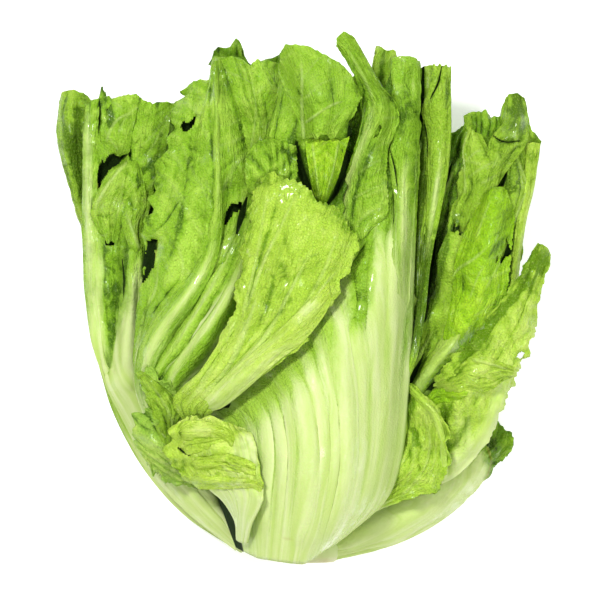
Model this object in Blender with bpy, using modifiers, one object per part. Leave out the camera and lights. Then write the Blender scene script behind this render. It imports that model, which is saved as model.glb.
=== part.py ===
"""A head of chinese mustard greens lying on its back, one solid for each leaf and one for the cut stump.

Plain sizes: metres, +Z up, +Y from the cut stump to the leaf tips, z = 0 under the head.
Every leaf is a thin sheet drawn in plan as stations from its root to its tip.  A station is a
left point, a right point and the heights of the sheet between them.
"""
import bmesh
import bpy
import math
import numpy as np
from mathutils import Matrix, Vector, noise

# The plan is drawn in units with x to the right and y down from the leaf tips to the stump.
HEAD_LENGTH = 0.297
PLAN_LENGTH = 531.0
PLAN_UNIT = HEAD_LENGTH / PLAN_LENGTH
PLAN_MIDDLE = (301.3, 299.2)
MM = 0.001

# The stump lies along Y in the middle of the roots; its profile is distance along Y, radius.
STUMP_X = 306.0
STUMP_Y = 570.5
STUMP_Z = 50.0
STUMP_PROFILE = (
    (4.0, 0.0), (4.0, 15.5), (6.0, 17.5), (12.0, 18.0), (24.0, 11.0), (38.0, 6.0), (50.0, 2.5), (52.0, 0.0),
)
STUMP_SIDES = 20

# The head rests on a flat spot pressed into the back leaf; its cutter's place, length, width and depth.
REST_MIDDLE = (-0.004, -0.030)
REST_LENGTH = 0.200
REST_WIDTH = 0.090
REST_DEPTH = 0.010

# Sheet thickness at the petiole's edge as a share of its middle, and the blade's in millimetres.
PETIOLE_EDGE = 0.45
BLADE_THICKNESS = 1.1

# Spacing in plan units of the blade's wrinkles and of the teeth along its edge.
WRINKLE_SPACING = 30.0
TOOTH_SPACING = 12.0

# How far in from an edge its teeth and its waves reach, and the width at which they are full.
EDGE_REACH = 8.0
RUFFLE_REACH = 20.0
TOOTHED_WIDTH = 60.0

# The drawn top and root edges bend this share of the leaf's length.
TOP_REACH = 0.38
ROOT_REACH = 0.12

# The blade takes over from the petiole between these shares of the petiole's length.
BLADE_STARTS = 0.75
BLADE_FULL = 1.35

# Teeth of the top edge as a share of those of the sides, and height of a wrinkle of strength 1.
TOP_TEETH = 0.7
WRINKLE_HEIGHT = 2.0

# Steps between the seeds of the two sides, of the top edge, of one leaf and the next, and of wrinkles.
SIDE_STEP = 9.0
TOP_STEP = 3.3
SEED_STEP = 7.31
WRINKLE_STEP = 0.5

# How far the waves of one side lead those of the other, in radians.
SIDE_PHASE = 2.0

# Places at which a leaf's middle line is measured.
FINE_PLACES = 400

LEAVES = [
    dict(
        name="leaf_back", slot="leaf_back", columns=12, rows=17,
        stations=[
            ((268, 557), (306, 557), (25, 23, 22, 23, 25)),
            ((240, 512), (336, 512), (20, 11, 7, 11, 18)),
            ((204, 456), (366, 456), (34, 7, 3.0, 7, 24)),
            ((180, 380), (386, 380), (37, 6, 2.6, 6, 26)),
            ((166, 300), (400, 300), (37, 7, 3.0, 7, 28)),
            ((158, 220), (420, 220), (36, 14, 9, 14, 32)),
            ((168, 150), (424, 150), (40, 26, 23, 26, 40)),
            ((196, 100), (396, 96), (42, 35, 33, 35, 42)),
        ],
        top=[(196, 100), (226, 84), (262, 74), (300, 70), (338, 74), (370, 82), (396, 96)],
        thick=7.0, petiole=0.62, ruffle=4, waves=5.0, teeth=13, wrinkle=3, seed=1,
        ribs=[(8, 2.0, [(250, 470), (226, 300), (226, 130)]), (8, 2.0, [(330, 470), (352, 300), (362, 130)])],
    ),
    dict(
        name="leaf_back_right", slot="leaf_back", columns=9, rows=15,
        stations=[
            ((324, 546), (334, 557), (18, 18, 18)),
            ((356, 498), (384, 520), (11, 9, 8)),
            ((400, 450), (440, 472), (10, 6, 5)),
            ((426, 396), (478, 402), (8, 6, 14)),
            ((440, 320), (496, 320), (9, 12, 26)),
            ((442, 240), (506, 240), (20, 20, 32)),
            ((444, 170), (508, 180), (28, 28, 36)),
            ((452, 132), (500, 140), (32, 32, 38)),
        ],
        top=[(452, 132), (464, 124), (480, 122), (492, 128), (500, 140)],
        thick=5.0, petiole=0.5, ruffle=2.5, waves=5.0, teeth=6.5, wrinkle=2.5, seed=2,
        ribs=[(8, 2.0, [(350, 530), (428, 455), (456, 380), (474, 240), (476, 130)])],
    ),
    dict(
        name="leaf_far_left", slot="leaf_green", columns=8, rows=18,
        stations=[
            ((240, 557), (254, 547), (19, 21, 22)),
            ((184, 521), (206, 498), (5, 9, 15)),
            ((142, 474), (172, 456), (3.0, 7, 14)),
            ((110, 414), (142, 402), (6, 11, 17)),
            ((93, 352), (122, 350), (12, 18, 23)),
            ((84, 290), (108, 290), (20, 26, 28)),
            ((80, 236), (102, 235), (26, 32, 32)),
            ((66, 186), (100, 185), (33, 40, 34)),
            ((55, 140), (96, 140), (38, 48, 37)),
            ((57, 100), (92, 100), (36, 46, 38)),
        ],
        top=[(57, 98), (60, 91), (72, 89), (82, 93), (92, 100)],
        thick=5.5, petiole=0.55, ruffle=2, waves=6.0, teeth=9, wrinkle=1.5, seed=3,
        ribs=[(6, 3.0, [(84, 232), (68, 180), (62, 140), (64, 100)]), (4, -4.0, [(84, 200), (76, 150), (76, 100)])],
    ),
    dict(
        name="leaf_left_outer", slot="leaf_pale", columns=12, rows=20,
        stations=[
            ((236, 553), (246, 545), (28, 29, 30)),
            ((190, 518), (213, 491), (23, 30, 28)),
            ((152, 476), (186, 446), (23, 33, 30)),
            ((120, 418), (158, 398), (28, 38, 38)),
            ((97, 368), (142, 362), (34, 43, 46)),
            ((84, 300), (142, 300), (40, 48, 52)),
            ((81, 240), (142, 245), (44, 52, 54)),
            ((81, 180), (154, 190), (47, 56, 57)),
            ((82, 135), (170, 140), (50, 58, 57)),
            ((84, 106), (179, 104), (51, 58, 57)),
        ],
        top=[(84, 105), (93, 99), (98, 98), (101, 84), (105, 95), (114, 99), (124, 95), (136, 93), (142, 100),
             (152, 103), (166, 101), (179, 103)],
        thick=7.0, petiole=0.5, ruffle=2, waves=5.0, teeth=3, wrinkle=3.5, seed=4,
        ribs=[(6, 3.0, [(96, 390), (88, 300), (86, 200), (87, 110)]), (7, -4.0, [(114, 370), (115, 310), (116, 245)]),
              (7, 3.5, [(128, 380), (130, 300), (128, 240), (133, 170), (135, 110)]),
              (5, -3.0, [(98, 180), (112, 160), (126, 154)])],
    ),
    dict(
        name="leaf_left_second", slot="leaf_green", columns=15, rows=22,
        stations=[
            ((236, 540), (251, 528), (39, 39, 40, 40, 40)),
            ((206, 502), (234, 486), (37, 39, 39, 39, 38)),
            ((166, 458), (208, 446), (41, 45, 46, 44, 41)),
            ((140, 408), (206, 424), (48, 57, 58, 54, 45)),
            ((134, 360), (224, 376), (60, 69, 70, 64, 50)),
            ((138, 300), (240, 322), (62, 75, 81, 81, 74)),
            ((143, 240), (251, 262), (65, 78, 84, 84, 79)),
            ((154, 186), (262, 205), (66, 79, 84, 83, 80)),
            ((168, 140), (276, 160), (67, 79, 85, 82, 79)),
            ((180, 104), (286, 112), (68, 78, 84, 81, 78)),
            ((186, 90), (284, 76), (68, 77, 82, 79, 76)),
        ],
        top=[(183, 94), (194, 84), (210, 81), (213, 62), (222, 58), (238, 62), (250, 65), (263, 60), (274, 64),
             (284, 72)],
        thick=5.5, petiole=0.5, ruffle=3, waves=5.0, teeth=9, wrinkle=3.5, seed=5,
        ribs=[(8, 4.0, [(140, 385), (160, 325), (190, 290), (206, 250), (214, 180), (216, 70)]),
              (7, 3.5, [(170, 400), (206, 336), (232, 290), (246, 230)]),
              (5, -3.5, [(219, 70), (228, 100), (243, 140)]),
              (6, -3.5, [(150, 382), (176, 330), (200, 300), (222, 250), (230, 190)])],
    ),
    dict(
        name="leaf_back_top", slot="leaf_green", columns=8, rows=15,
        stations=[
            ((240, 502), (256, 506), (48, 49, 49)),
            ((240, 450), (262, 450), (36, 40, 38)),
            ((244, 390), (284, 390), (30, 36, 34)),
            ((246, 320), (292, 320), (38, 43, 41)),
            ((240, 250), (300, 250), (50, 55, 53)),
            ((224, 180), (310, 180), (57, 62, 59)),
            ((216, 120), (322, 120), (58, 63, 59)),
            ((214, 70), (322, 66), (60, 64, 60)),
        ],
        top=[(214, 62), (216, 48), (222, 43), (230, 45), (237, 37), (242, 46), (244, 57), (252, 63), (268, 60),
             (284, 56), (300, 60), (322, 66)],
        thick=5.0, petiole=0.5, ruffle=3, waves=5.0, teeth=9, wrinkle=2.5, seed=6,
        ribs=[(8, 2.5, [(248, 500), (262, 320), (268, 180), (268, 70)])],
    ),
    dict(
        name="leaf_inner", slot="leaf_green", columns=8, rows=15,
        stations=[
            ((298, 498), (318, 498), (67, 69, 66)),
            ((302, 440), (340, 440), (66, 71, 68)),
            ((314, 370), (374, 370), (64, 69, 66)),
            ((334, 300), (392, 300), (58, 64, 57)),
            ((342, 230), (398, 230), (58, 62, 56)),
            ((340, 160), (400, 160), (59, 63, 57)),
            ((338, 110), (400, 110), (60, 64, 57)),
            ((342, 84), (400, 66), (60, 64, 58)),
        ],
        top=[(342, 84), (352, 76), (362, 72), (372, 69), (376, 47), (386, 50), (396, 48), (402, 62)],
        thick=5.0, petiole=0.5, ruffle=2, waves=5.0, teeth=6.5, wrinkle=2, seed=7,
        ribs=[(8, 2.0, [(308, 498), (322, 420), (352, 330), (372, 230), (376, 90)])],
    ),
    dict(
        name="leaf_lobe", slot="leaf_green", columns=12, rows=21,
        stations=[
            ((264, 500), (290, 500), (66, 68, 66)),
            ((244, 440), (290, 436), (52, 57, 55)),
            ((240, 380), (292, 376), (47, 53, 51)),
            ((248, 330), (298, 330), (56, 58, 52)),
            ((254, 290), (308, 290), (70, 72, 66)),
            ((257, 250), (326, 246), (82, 84, 80)),
            ((260, 212), (342, 206), (86, 90, 86)),
            ((258, 176), (348, 170), (88, 93, 88)),
            ((264, 146), (348, 142), (90, 98, 90)),
            ((277, 108), (354, 106), (90, 100, 92)),
            ((278, 74), (358, 88), (90, 98, 92)),
        ],
        top=[(278, 76), (280, 56), (286, 46), (306, 48), (330, 60), (350, 76), (358, 92)],
        thick=5.0, petiole=0.5, ruffle=2, waves=5.0, teeth=6.5, wrinkle=2.5, seed=8,
        ribs=[(6, 2.5, [(303, 70), (302, 100), (303, 138)]), (5, -5.0, [(300, 144), (326, 142), (350, 143)]),
              (6, -5.0, [(296, 150), (306, 182), (318, 206)]), (6, -5.0, [(350, 152), (340, 180), (328, 204)]),
              (8, 3.0, [(326, 150), (322, 196)]), (6, 3.0, [(268, 176), (284, 160), (292, 146)])],
    ),
    dict(
        name="leaf_right_strip", slot="leaf_green", columns=8, rows=18,
        stations=[
            ((320, 500), (336, 508), (53, 54, 50)),
            ((344, 452), (368, 460), (48, 51, 47)),
            ((370, 398), (392, 404), (43, 48, 44)),
            ((394, 340), (408, 344), (48, 53, 50)),
            ((406, 290), (420, 292), (52, 58, 56)),
            ((413, 230), (431, 232), (56, 62, 60)),
            ((416, 180), (441, 186), (58, 65, 62)),
            ((417, 120), (450, 130), (58, 66, 64)),
            ((417, 68), (450, 68), (58, 66, 64)),
        ],
        top=[(417, 68), (424, 66), (432, 65), (442, 66), (450, 67)],
        thick=4.0, petiole=0.45, ruffle=1, waves=6.0, teeth=2.5, wrinkle=2, seed=9,
        ribs=[(5, 2.5, [(446, 70), (446, 140), (436, 195), (426, 230), (418, 300)]),
              (6, -4.0, [(425, 75), (423, 110), (425, 150), (422, 200)])],
    ),
    dict(
        name="leaf_right_back", slot="leaf_green", columns=8, rows=16,
        stations=[
            ((326, 518), (336, 530), (32, 32, 32)),
            ((348, 462), (372, 476), (31, 31.5, 30)),
            ((384, 400), (410, 408), (30, 32, 30)),
            ((408, 340), (432, 350), (33, 37, 36)),
            ((424, 280), (450, 290), (41, 46, 45)),
            ((430, 225), (462, 235), (46, 51, 48)),
            ((440, 185), (470, 195), (48, 53, 49)),
            ((450, 150), (474, 155), (50, 54, 50)),
            ((462, 116), (476, 118), (50, 53, 50)),
        ],
        top=[(462, 116), (467, 111), (472, 112), (476, 118)],
        thick=4.0, petiole=0.45, ruffle=1.5, waves=6.0, teeth=5.5, wrinkle=2, seed=10,
        ribs=[(5, 2.5, [(420, 345), (436, 285), (446, 230), (460, 170)])],
    ),
    dict(
        name="leaf_right_upper", slot="leaf_green", columns=13, rows=20,
        stations=[
            ((328, 520), (342, 534), (38, 38, 38)),
            ((356, 474), (382, 492), (37.5, 38.5, 37)),
            ((390, 408), (418, 424), (38, 42, 40)),
            ((416, 354), (452, 380), (46, 52, 48)),
            ((432, 296), (500, 330), (54, 62, 56)),
            ((444, 238), (518, 276), (59, 69, 59)),
            ((460, 190), (526, 216), (61, 70, 60)),
            ((468, 150), (534, 172), (61, 68, 61)),
            ((468, 122), (541, 142), (61, 67, 61)),
        ],
        top=[(466, 116), (474, 112), (484, 114), (492, 118), (501, 117), (503, 106), (507, 96), (516, 94),
             (525, 100), (528, 114), (532, 130), (541, 141)],
        thick=5.0, petiole=0.4, ruffle=3, waves=5.0, teeth=4, wrinkle=4, seed=11,
        ribs=[(6, 3.0, [(405, 402), (428, 375), (452, 345), (472, 318), (488, 270), (496, 210)]),
              (6, -4.0, [(503, 160), (500, 188)]), (6, 3.0, [(516, 110), (520, 160), (508, 210)])],
    ),
    dict(
        name="leaf_right_outer", slot="leaf_pale", columns=10, rows=16,
        stations=[
            ((308, 551), (338, 563), (29, 28, 26)),
            ((364, 517), (396, 547), (25, 31, 22)),
            ((408, 494), (438, 526), (22, 33, 18)),
            ((446, 470), (472, 499), (22, 33, 17)),
            ((474, 448), (494, 474), (24, 32, 19)),
            ((486, 434), (507, 460), (23, 29, 23)),
            ((490, 424), (516, 446), (23, 29, 25)),
        ],
        top=[(488, 424), (498, 421), (506, 430), (514, 436), (516, 446)],
        thick=7.0, petiole=0.72, ruffle=2, waves=8.0, teeth=9, wrinkle=2.5, seed=12,
        ribs=[(6, 1.6, [(350, 545), (400, 512), (440, 486), (480, 455)])],
    ),
    dict(
        name="leaf_right_front", slot="leaf_green", columns=12, rows=20,
        stations=[
            ((338, 512), (352, 526), (44, 44, 44)),
            ((376, 472), (404, 500), (43.5, 44.5, 44)),
            ((402, 444), (456, 478), (46, 51, 46)),
            ((428, 404), (490, 440), (52, 60, 50)),
            ((440, 374), (506, 402), (63, 71, 56)),
            ((470, 342), (520, 368), (71, 76, 62)),
            ((498, 304), (535, 332), (73, 77, 66)),
            ((520, 274), (541, 292), (71, 74, 67)),
            ((533, 250), (551, 258), (70, 72, 68)),
        ],
        top=[(533, 250), (538, 243), (545, 247), (551, 257)],
        thick=4.0, petiole=0.4, ruffle=4, waves=9.0, teeth=10, wrinkle=4, seed=13,
        ribs=[(6, 2.5, [(402, 490), (450, 470), (488, 428), (504, 396), (518, 350)]),
              (6, 3.5, [(446, 388), (470, 392), (506, 384)])],
    ),
    dict(
        name="leaf_center", slot="leaf_pale", columns=19, rows=25,
        stations=[
            ((238, 548), (344, 538), (49, 72, 81, 71, 48)),
            ((224, 508), (384, 500), (52, 84, 98, 87, 54)),
            ((212, 470), (400, 456), (54, 86, 106, 95, 58)),
            ((206, 412), (406, 396), (56, 84, 104, 97, 62)),
            ((258, 352), (410, 330), (62, 86, 99, 94, 64)),
            ((318, 288), (412, 270), (68, 84, 92, 88, 66)),
            ((340, 235), (416, 210), (75, 84, 86, 82, 68)),
            ((348, 180), (419, 160), (79, 86, 84, 79, 69)),
            ((364, 128), (419, 115), (83, 87, 82, 78, 69)),
            ((358, 86), (419, 84), (85, 88, 82, 77, 69)),
            ((340, 56), (419, 64), (85, 86, 82, 77, 69)),
        ],
        top=[(336, 47), (343, 34), (357, 45), (369, 66), (384, 90), (390, 76), (392, 60), (405, 56), (419, 60)],
        root=[(238, 548), (262, 556), (300, 558), (318, 548), (344, 536)],
        thick=9.0, petiole=0.62, ruffle=1, waves=6.0, teeth=3, wrinkle=2.5, seed=14,
        ribs=[(8, 2.5, [(232, 404), (250, 400), (264, 420), (268, 460), (264, 515)]),
              (8, 3.0, [(262, 368), (284, 374), (302, 400), (308, 450), (304, 530)]),
              (8, 3.0, [(320, 306), (336, 350), (346, 410), (346, 470), (330, 530)]),
              (8, 2.5, [(352, 520), (376, 470), (384, 400), (392, 310), (400, 200), (404, 70)]),
              (6, 3.0, [(348, 205), (366, 158), (383, 112)]),
              (6, -4.0, [(390, 230), (396, 190), (388, 152), (392, 100)])],
    ),
    dict(
        name="leaf_right_small", slot="leaf_lime", columns=10, rows=14,
        stations=[
            ((344, 504), (356, 518), (48.5, 48.5, 48)),
            ((376, 474), (404, 502), (48, 50, 52)),
            ((393, 436), (440, 484), (51, 60, 60)),
            ((402, 408), (449, 446), (50, 65, 69)),
            ((409, 392), (438, 408), (52, 66, 71)),
        ],
        top=[(409, 392), (410, 384), (420, 391), (438, 407)],
        thick=3.0, petiole=0.3, ruffle=3, waves=7.0, teeth=11, wrinkle=4, seed=15,
        ribs=[(5, -3.5, [(444, 412), (446, 450), (444, 476)])],
    ),
    dict(
        name="leaf_left_small", slot="leaf_green", columns=10, rows=15,
        stations=[
            ((238, 534), (245, 532), (46.5, 46.5, 46.5)),
            ((228, 512), (236, 507), (46.5, 47, 47)),
            ((214, 495), (224, 484), (46.5, 47, 47.5)),
            ((195, 490), (204, 460), (48, 50, 52)),
            ((174, 486), (188, 419), (50, 59, 66)),
            ((156, 474), (180, 392), (53, 68, 76)),
            ((142, 456), (150, 376), (57, 70, 79)),
        ],
        top=[(146, 462), (137, 446), (130, 430), (134, 416), (146, 412), (150, 398), (141, 386), (137, 374),
             (146, 371)],
        thick=3.0, petiole=0.3, ruffle=2, waves=6.0, teeth=13, wrinkle=3.5, seed=16,
        ribs=[(5, -2.5, [(150, 386), (162, 412), (176, 440)]), (5, 2.5, [(198, 474), (170, 452), (142, 434)])],
    ),
    dict(
        name="leaf_left_lime", slot="leaf_lime", columns=12, rows=14,
        stations=[
            ((237, 540), (247, 543), (66, 71, 76)),
            ((234, 518), (252, 522), (68, 80, 92)),
            ((214, 492), (263, 496), (68, 88, 103)),
            ((176, 470), (261, 468), (71, 86, 102)),
            ((170, 440), (254, 438), (75, 86, 99)),
            ((180, 424), (244, 426), (82, 88, 97)),
        ],
        top=[(180, 422), (196, 417), (216, 419), (244, 425)],
        thick=3.0, petiole=0.35, ruffle=2, waves=6.0, teeth=11, wrinkle=3.5, seed=17,
        ribs=[(6, 2.5, [(180, 432), (214, 428), (244, 432)]), (6, 2.5, [(182, 460), (218, 448), (250, 450)]),
              (6, 2.5, [(190, 478), (226, 472), (258, 476)])],
    ),
    dict(
        name="leaf_front", slot="leaf_pale", columns=17, rows=19,
        stations=[
            ((206, 462), (220, 457), (70, 71, 72)),
            ((192, 430), (214, 430), (69.5, 70.5, 71.5)),
            ((174, 399), (213, 411), (79, 82, 83)),
            ((202, 370), (250, 384), (91, 97, 99)),
            ((229, 324), (294, 350), (96, 105, 107)),
            ((236, 284), (318, 318), (98, 109, 108)),
            ((246, 240), (346, 274), (99, 110, 104)),
            ((262, 184), (358, 242), (99, 107, 99)),
        ],
        top=[(262, 182), (268, 175), (284, 179), (302, 187), (320, 201), (337, 207), (348, 228), (360, 242)],
        thick=4.5, petiole=0.5, ruffle=2, waves=4.0, teeth=9, wrinkle=3, seed=18,
        ribs=[(6, 2.5, [(204, 404), (262, 362), (310, 306), (344, 240)]),
              (6, 2.5, [(196, 392), (240, 340), (280, 262), (300, 196)]),
              (5, 2.5, [(190, 388), (230, 330), (248, 270), (268, 190)]),
              (6, -2.5, [(220, 382), (268, 320), (316, 218)])],
    ),
]

# Colour, roughness and metallic value of each slot.
LOOKS = {
    "stump": ((0.62, 0.68, 0.36), 0.6, 0.0),
    "leaf_pale": ((0.66, 0.80, 0.36), 0.4, 0.0),
    "leaf_green": ((0.30, 0.52, 0.09), 0.45, 0.0),
    "leaf_lime": ((0.45, 0.66, 0.12), 0.45, 0.0),
    "leaf_back": ((0.34, 0.54, 0.12), 0.45, 0.0),
}


def through(points, places):
    """Values of a smooth track through control points, at places counted in points."""
    points = np.asarray(points, dtype=float)
    last = len(points) - 1
    places = np.clip(places, 0.0, last - 1e-9)
    start = places.astype(int)
    share = (places - start).reshape((-1,) + (1,) * (points.ndim - 1))
    padded = np.concatenate([[2 * points[0] - points[1]], points, [2 * points[-1] - points[-2]]])
    before, here, after, beyond = (padded[start + step] for step in range(4))
    bend = 2 * before - 5 * here + 4 * after - beyond
    twist = 3 * (here - after) + beyond - before
    return here + 0.5 * share * (after - before + share * (bend + share * twist))


def ease(low, high, value):
    """A smooth step from 0 at low to 1 at high."""
    share = np.clip((value - low) / (high - low), 0.0, 1.0)
    return share * share * (3 - 2 * share)


def even_places(middles, count):
    """Places along a track that are an even distance apart."""
    fine = np.linspace(0.0, len(middles) - 1, FINE_PLACES)
    track = through(middles, fine)
    steps = np.linalg.norm(np.diff(track, axis=0), axis=1)
    reach = np.concatenate([[0.0], np.cumsum(steps)])
    return np.interp(np.linspace(0.0, reach[-1], count), reach, fine), reach[-1]


def along(points, shares):
    """Points of a straight-sided line at shares of its length."""
    points = np.asarray(points, dtype=float)
    reach = np.concatenate([[0.0], np.cumsum(np.linalg.norm(np.diff(points, axis=0), axis=1))])
    return np.stack([np.interp(shares * reach[-1], reach, points[:, axis]) for axis in (0, 1)], axis=1)


def roughly(x, y, seed):
    """A smooth wander between about -1 and 1, the same for the same place and seed."""
    spots = zip(np.ravel(x), np.ravel(y))
    return np.array([noise.noise(Vector((a, b, SEED_STEP * seed))) for a, b in spots]).reshape(np.shape(x))


def distance_to(line, x, y):
    """Distance in plan from each place to a straight-sided line."""
    nearest = np.full(x.shape, 1e9)
    for (ax, ay), (bx, by) in zip(line[:-1], line[1:]):
        length = (bx - ax) ** 2 + (by - ay) ** 2
        share = np.clip(((x - ax) * (bx - ax) + (y - ay) * (by - ay)) / length, 0.0, 1.0)
        nearest = np.minimum(nearest, np.hypot(x - ax - share * (bx - ax), y - ay - share * (by - ay)))
    return nearest


def leaf_sheet(leaf, columns, rows):
    """Places of a leaf's sheet in metres and its thickness, on an even net of columns and rows."""
    left = np.array([station[0] for station in leaf["stations"]], dtype=float)
    right = np.array([station[1] for station in leaf["stations"]], dtype=float)
    heights = np.array([station[2] for station in leaf["stations"]], dtype=float)
    places, length = even_places((left + right) / 2, rows)
    u = np.tile(np.linspace(0.0, 1.0, columns), (rows, 1))
    v = np.tile(np.linspace(0.0, 1.0, rows)[:, None], (1, columns))
    lefts, rights, levels = through(left, places), through(right, places), through(heights, places)
    flat = lefts[:, None, :] + (rights - lefts)[:, None, :] * u[:, :, None]
    level = np.stack([through(row[:, None], u[0] * (heights.shape[1] - 1))[:, 0] for row in levels])
    # the top edge is drawn out from the last station
    straight = left[-1] + (right[-1] - left[-1]) * u[0][:, None]
    drawn = along(leaf["top"], u[0]) - straight
    flat = flat + drawn[None, :, :] * ease(1 - TOP_REACH, 1.0, v)[:, :, None]
    if "root" in leaf:
        straight = left[0] + (right[0] - left[0]) * u[0][:, None]
        drawn = along(leaf["root"], u[0]) - straight
        flat = flat + drawn[None, :, :] * (1 - ease(0.0, ROOT_REACH, v))[:, :, None]
    # the blade begins where the petiole ends
    blade = ease(leaf["petiole"] * BLADE_STARTS, leaf["petiole"] * BLADE_FULL, v)
    width = np.linalg.norm(rights - lefts, axis=1)[:, None]
    side, end = np.minimum(u, 1 - u) * width, (1 - v) * length
    # teeth and waves fade where the leaf is narrow and towards its middle
    broad = np.minimum(1.0, width / TOOTHED_WIDTH)
    sided = broad * np.abs(2 * u - 1) * blade
    # teeth along the sides and the top edge
    across = ((rights - lefts) / width)[:, None, :]
    outward = np.where(u < 0.5, -1.0, 1.0)[:, :, None] * across
    bite = roughly(v * length / TOOTH_SPACING + SIDE_STEP * (u > 0.5), v * 0, leaf["seed"])
    flat = flat + outward * (leaf["teeth"] * bite * sided * np.exp(-side / EDGE_REACH))[:, :, None]
    onward = np.gradient((lefts + rights) / 2, axis=0)
    onward = (onward / np.linalg.norm(onward, axis=1)[:, None])[:, None, :]
    bite = roughly(u * width / TOOTH_SPACING, u * 0 + TOP_STEP, leaf["seed"])
    flat = flat + onward * (TOP_TEETH * leaf["teeth"] * broad * bite * np.exp(-end / EDGE_REACH))[:, :, None]
    x, y = flat[:, :, 0], flat[:, :, 1]
    # ribs and grooves, waves at the edges and wrinkles of the blade
    for reach, height, line in leaf["ribs"]:
        level = level + height * np.exp(-(distance_to(line, x, y) / reach) ** 2)
    wave = np.sin(2 * math.pi * leaf["waves"] * v + leaf["seed"] + SIDE_PHASE * (u > 0.5))
    level = level + leaf["ruffle"] * sided * wave * np.exp(-side / RUFFLE_REACH)
    bump = roughly(x / WRINKLE_SPACING, y / WRINKLE_SPACING, leaf["seed"] + WRINKLE_STEP)
    level = level + leaf["wrinkle"] * WRINKLE_HEIGHT * blade * bump
    middle = PETIOLE_EDGE + (1 - PETIOLE_EDGE) * np.sin(math.pi * u)
    thick = BLADE_THICKNESS + (leaf["thick"] * middle - BLADE_THICKNESS) * (1 - blade)
    across, forward = (x - PLAN_MIDDLE[0]) * PLAN_UNIT, (PLAN_MIDDLE[1] - y) * PLAN_UNIT
    return np.stack([across, forward, level * MM], axis=2), thick * MM


def make_material(slot):
    color, roughness, metallic = LOOKS[slot]
    material = bpy.data.materials.new(slot)
    material.use_nodes = True
    shader = material.node_tree.nodes["Principled BSDF"]
    shader.inputs["Base Color"].default_value = (*color, 1.0)
    shader.inputs["Roughness"].default_value = roughness
    shader.inputs["Metallic"].default_value = metallic
    material.diffuse_color = (*color, 1.0)
    return material


def make_leaf(leaf, collection, materials):
    """A leaf is a net moved to its sheet, split into triangles and given its thickness by Solidify."""
    spots, thick = leaf_sheet(leaf, leaf["columns"], leaf["rows"])
    shape = bmesh.new()
    bmesh.ops.create_grid(shape, x_segments=leaf["columns"] - 1, y_segments=leaf["rows"] - 1, size=1.0)
    shape.verts.ensure_lookup_table()
    places = spots.reshape(-1, 3)
    for vertex, place in zip(shape.verts, places):
        vertex.co = place
    bmesh.ops.triangulate(shape, faces=shape.faces[:], quad_method="SHORT_EDGE")
    mesh = bpy.data.meshes.new(leaf["name"])
    shape.to_mesh(mesh)
    shape.free()
    mesh.shade_smooth()
    piece = bpy.data.objects.new(leaf["name"], mesh)
    collection.objects.link(piece)
    group = piece.vertex_groups.new(name="thickness")
    most = float(thick.max())
    for index, value in enumerate(thick.ravel()):
        group.add([index], float(value) / most, "REPLACE")
    wall = piece.modifiers.new("thickness", "SOLIDIFY")
    wall.thickness = most
    wall.offset = 0.0
    wall.vertex_group = group.name
    mesh.materials.append(materials[leaf["slot"]])
    return piece


def make_stump(collection, materials):
    """The stump is a turned profile lying along Y, cut flat at its near end."""
    shape = bmesh.new()
    corners = [shape.verts.new((radius * MM, 0.0, reach * MM)) for reach, radius in reversed(STUMP_PROFILE)]
    for first, second in zip(corners[:-1], corners[1:]):
        shape.edges.new((first, second))
    mesh = bpy.data.meshes.new("stump")
    shape.to_mesh(mesh)
    shape.free()
    piece = bpy.data.objects.new("stump", mesh)
    collection.objects.link(piece)
    turn = piece.modifiers.new("turned", "SCREW")
    turn.axis = "Z"
    turn.steps = STUMP_SIDES
    turn.render_steps = STUMP_SIDES
    turn.use_merge_vertices = True
    turn.merge_threshold = 0.0001
    across, forward = (STUMP_X - PLAN_MIDDLE[0]) * PLAN_UNIT, (PLAN_MIDDLE[1] - STUMP_Y) * PLAN_UNIT
    piece.location = (across, forward, STUMP_Z * MM)
    piece.rotation_euler = (-math.pi / 2, 0.0, 0.0)
    mesh.materials.append(materials["stump"])
    return piece


def press_flat(piece, collection):
    """Cuts the back leaf's underside flat at z = 0 where the head rests."""
    bpy.ops.mesh.primitive_cube_add(size=1.0)
    cutter = bpy.context.object
    cutter.name = "rest_cutter"
    for owner in list(cutter.users_collection):
        owner.objects.unlink(cutter)
    collection.objects.link(cutter)
    cutter.data.transform(Matrix.Diagonal((REST_WIDTH, REST_LENGTH, REST_DEPTH, 1.0)))
    cutter.location = (*REST_MIDDLE, -REST_DEPTH / 2)
    cutter.hide_render = True
    cutter.display_type = "WIRE"
    cut = piece.modifiers.new("pressed_flat", "BOOLEAN")
    cut.operation = "DIFFERENCE"
    cut.object = cutter


for old in list(bpy.data.objects):
    bpy.data.objects.remove(old, do_unlink=True)
head = bpy.data.collections.new("mustard_greens_head")
bpy.context.scene.collection.children.link(head)
slots = {slot: make_material(slot) for slot in LOOKS}
make_stump(head, slots)
for drawing in LEAVES:
    make_leaf(drawing, head, slots)
cutters = bpy.data.collections.new("cutters")
bpy.context.scene.collection.children.link(cutters)
press_flat(bpy.data.objects["leaf_back"], cutters)
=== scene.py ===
import math

import bpy
import numpy as np
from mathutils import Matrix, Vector, noise
from mathutils.bvhtree import BVHTree


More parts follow.
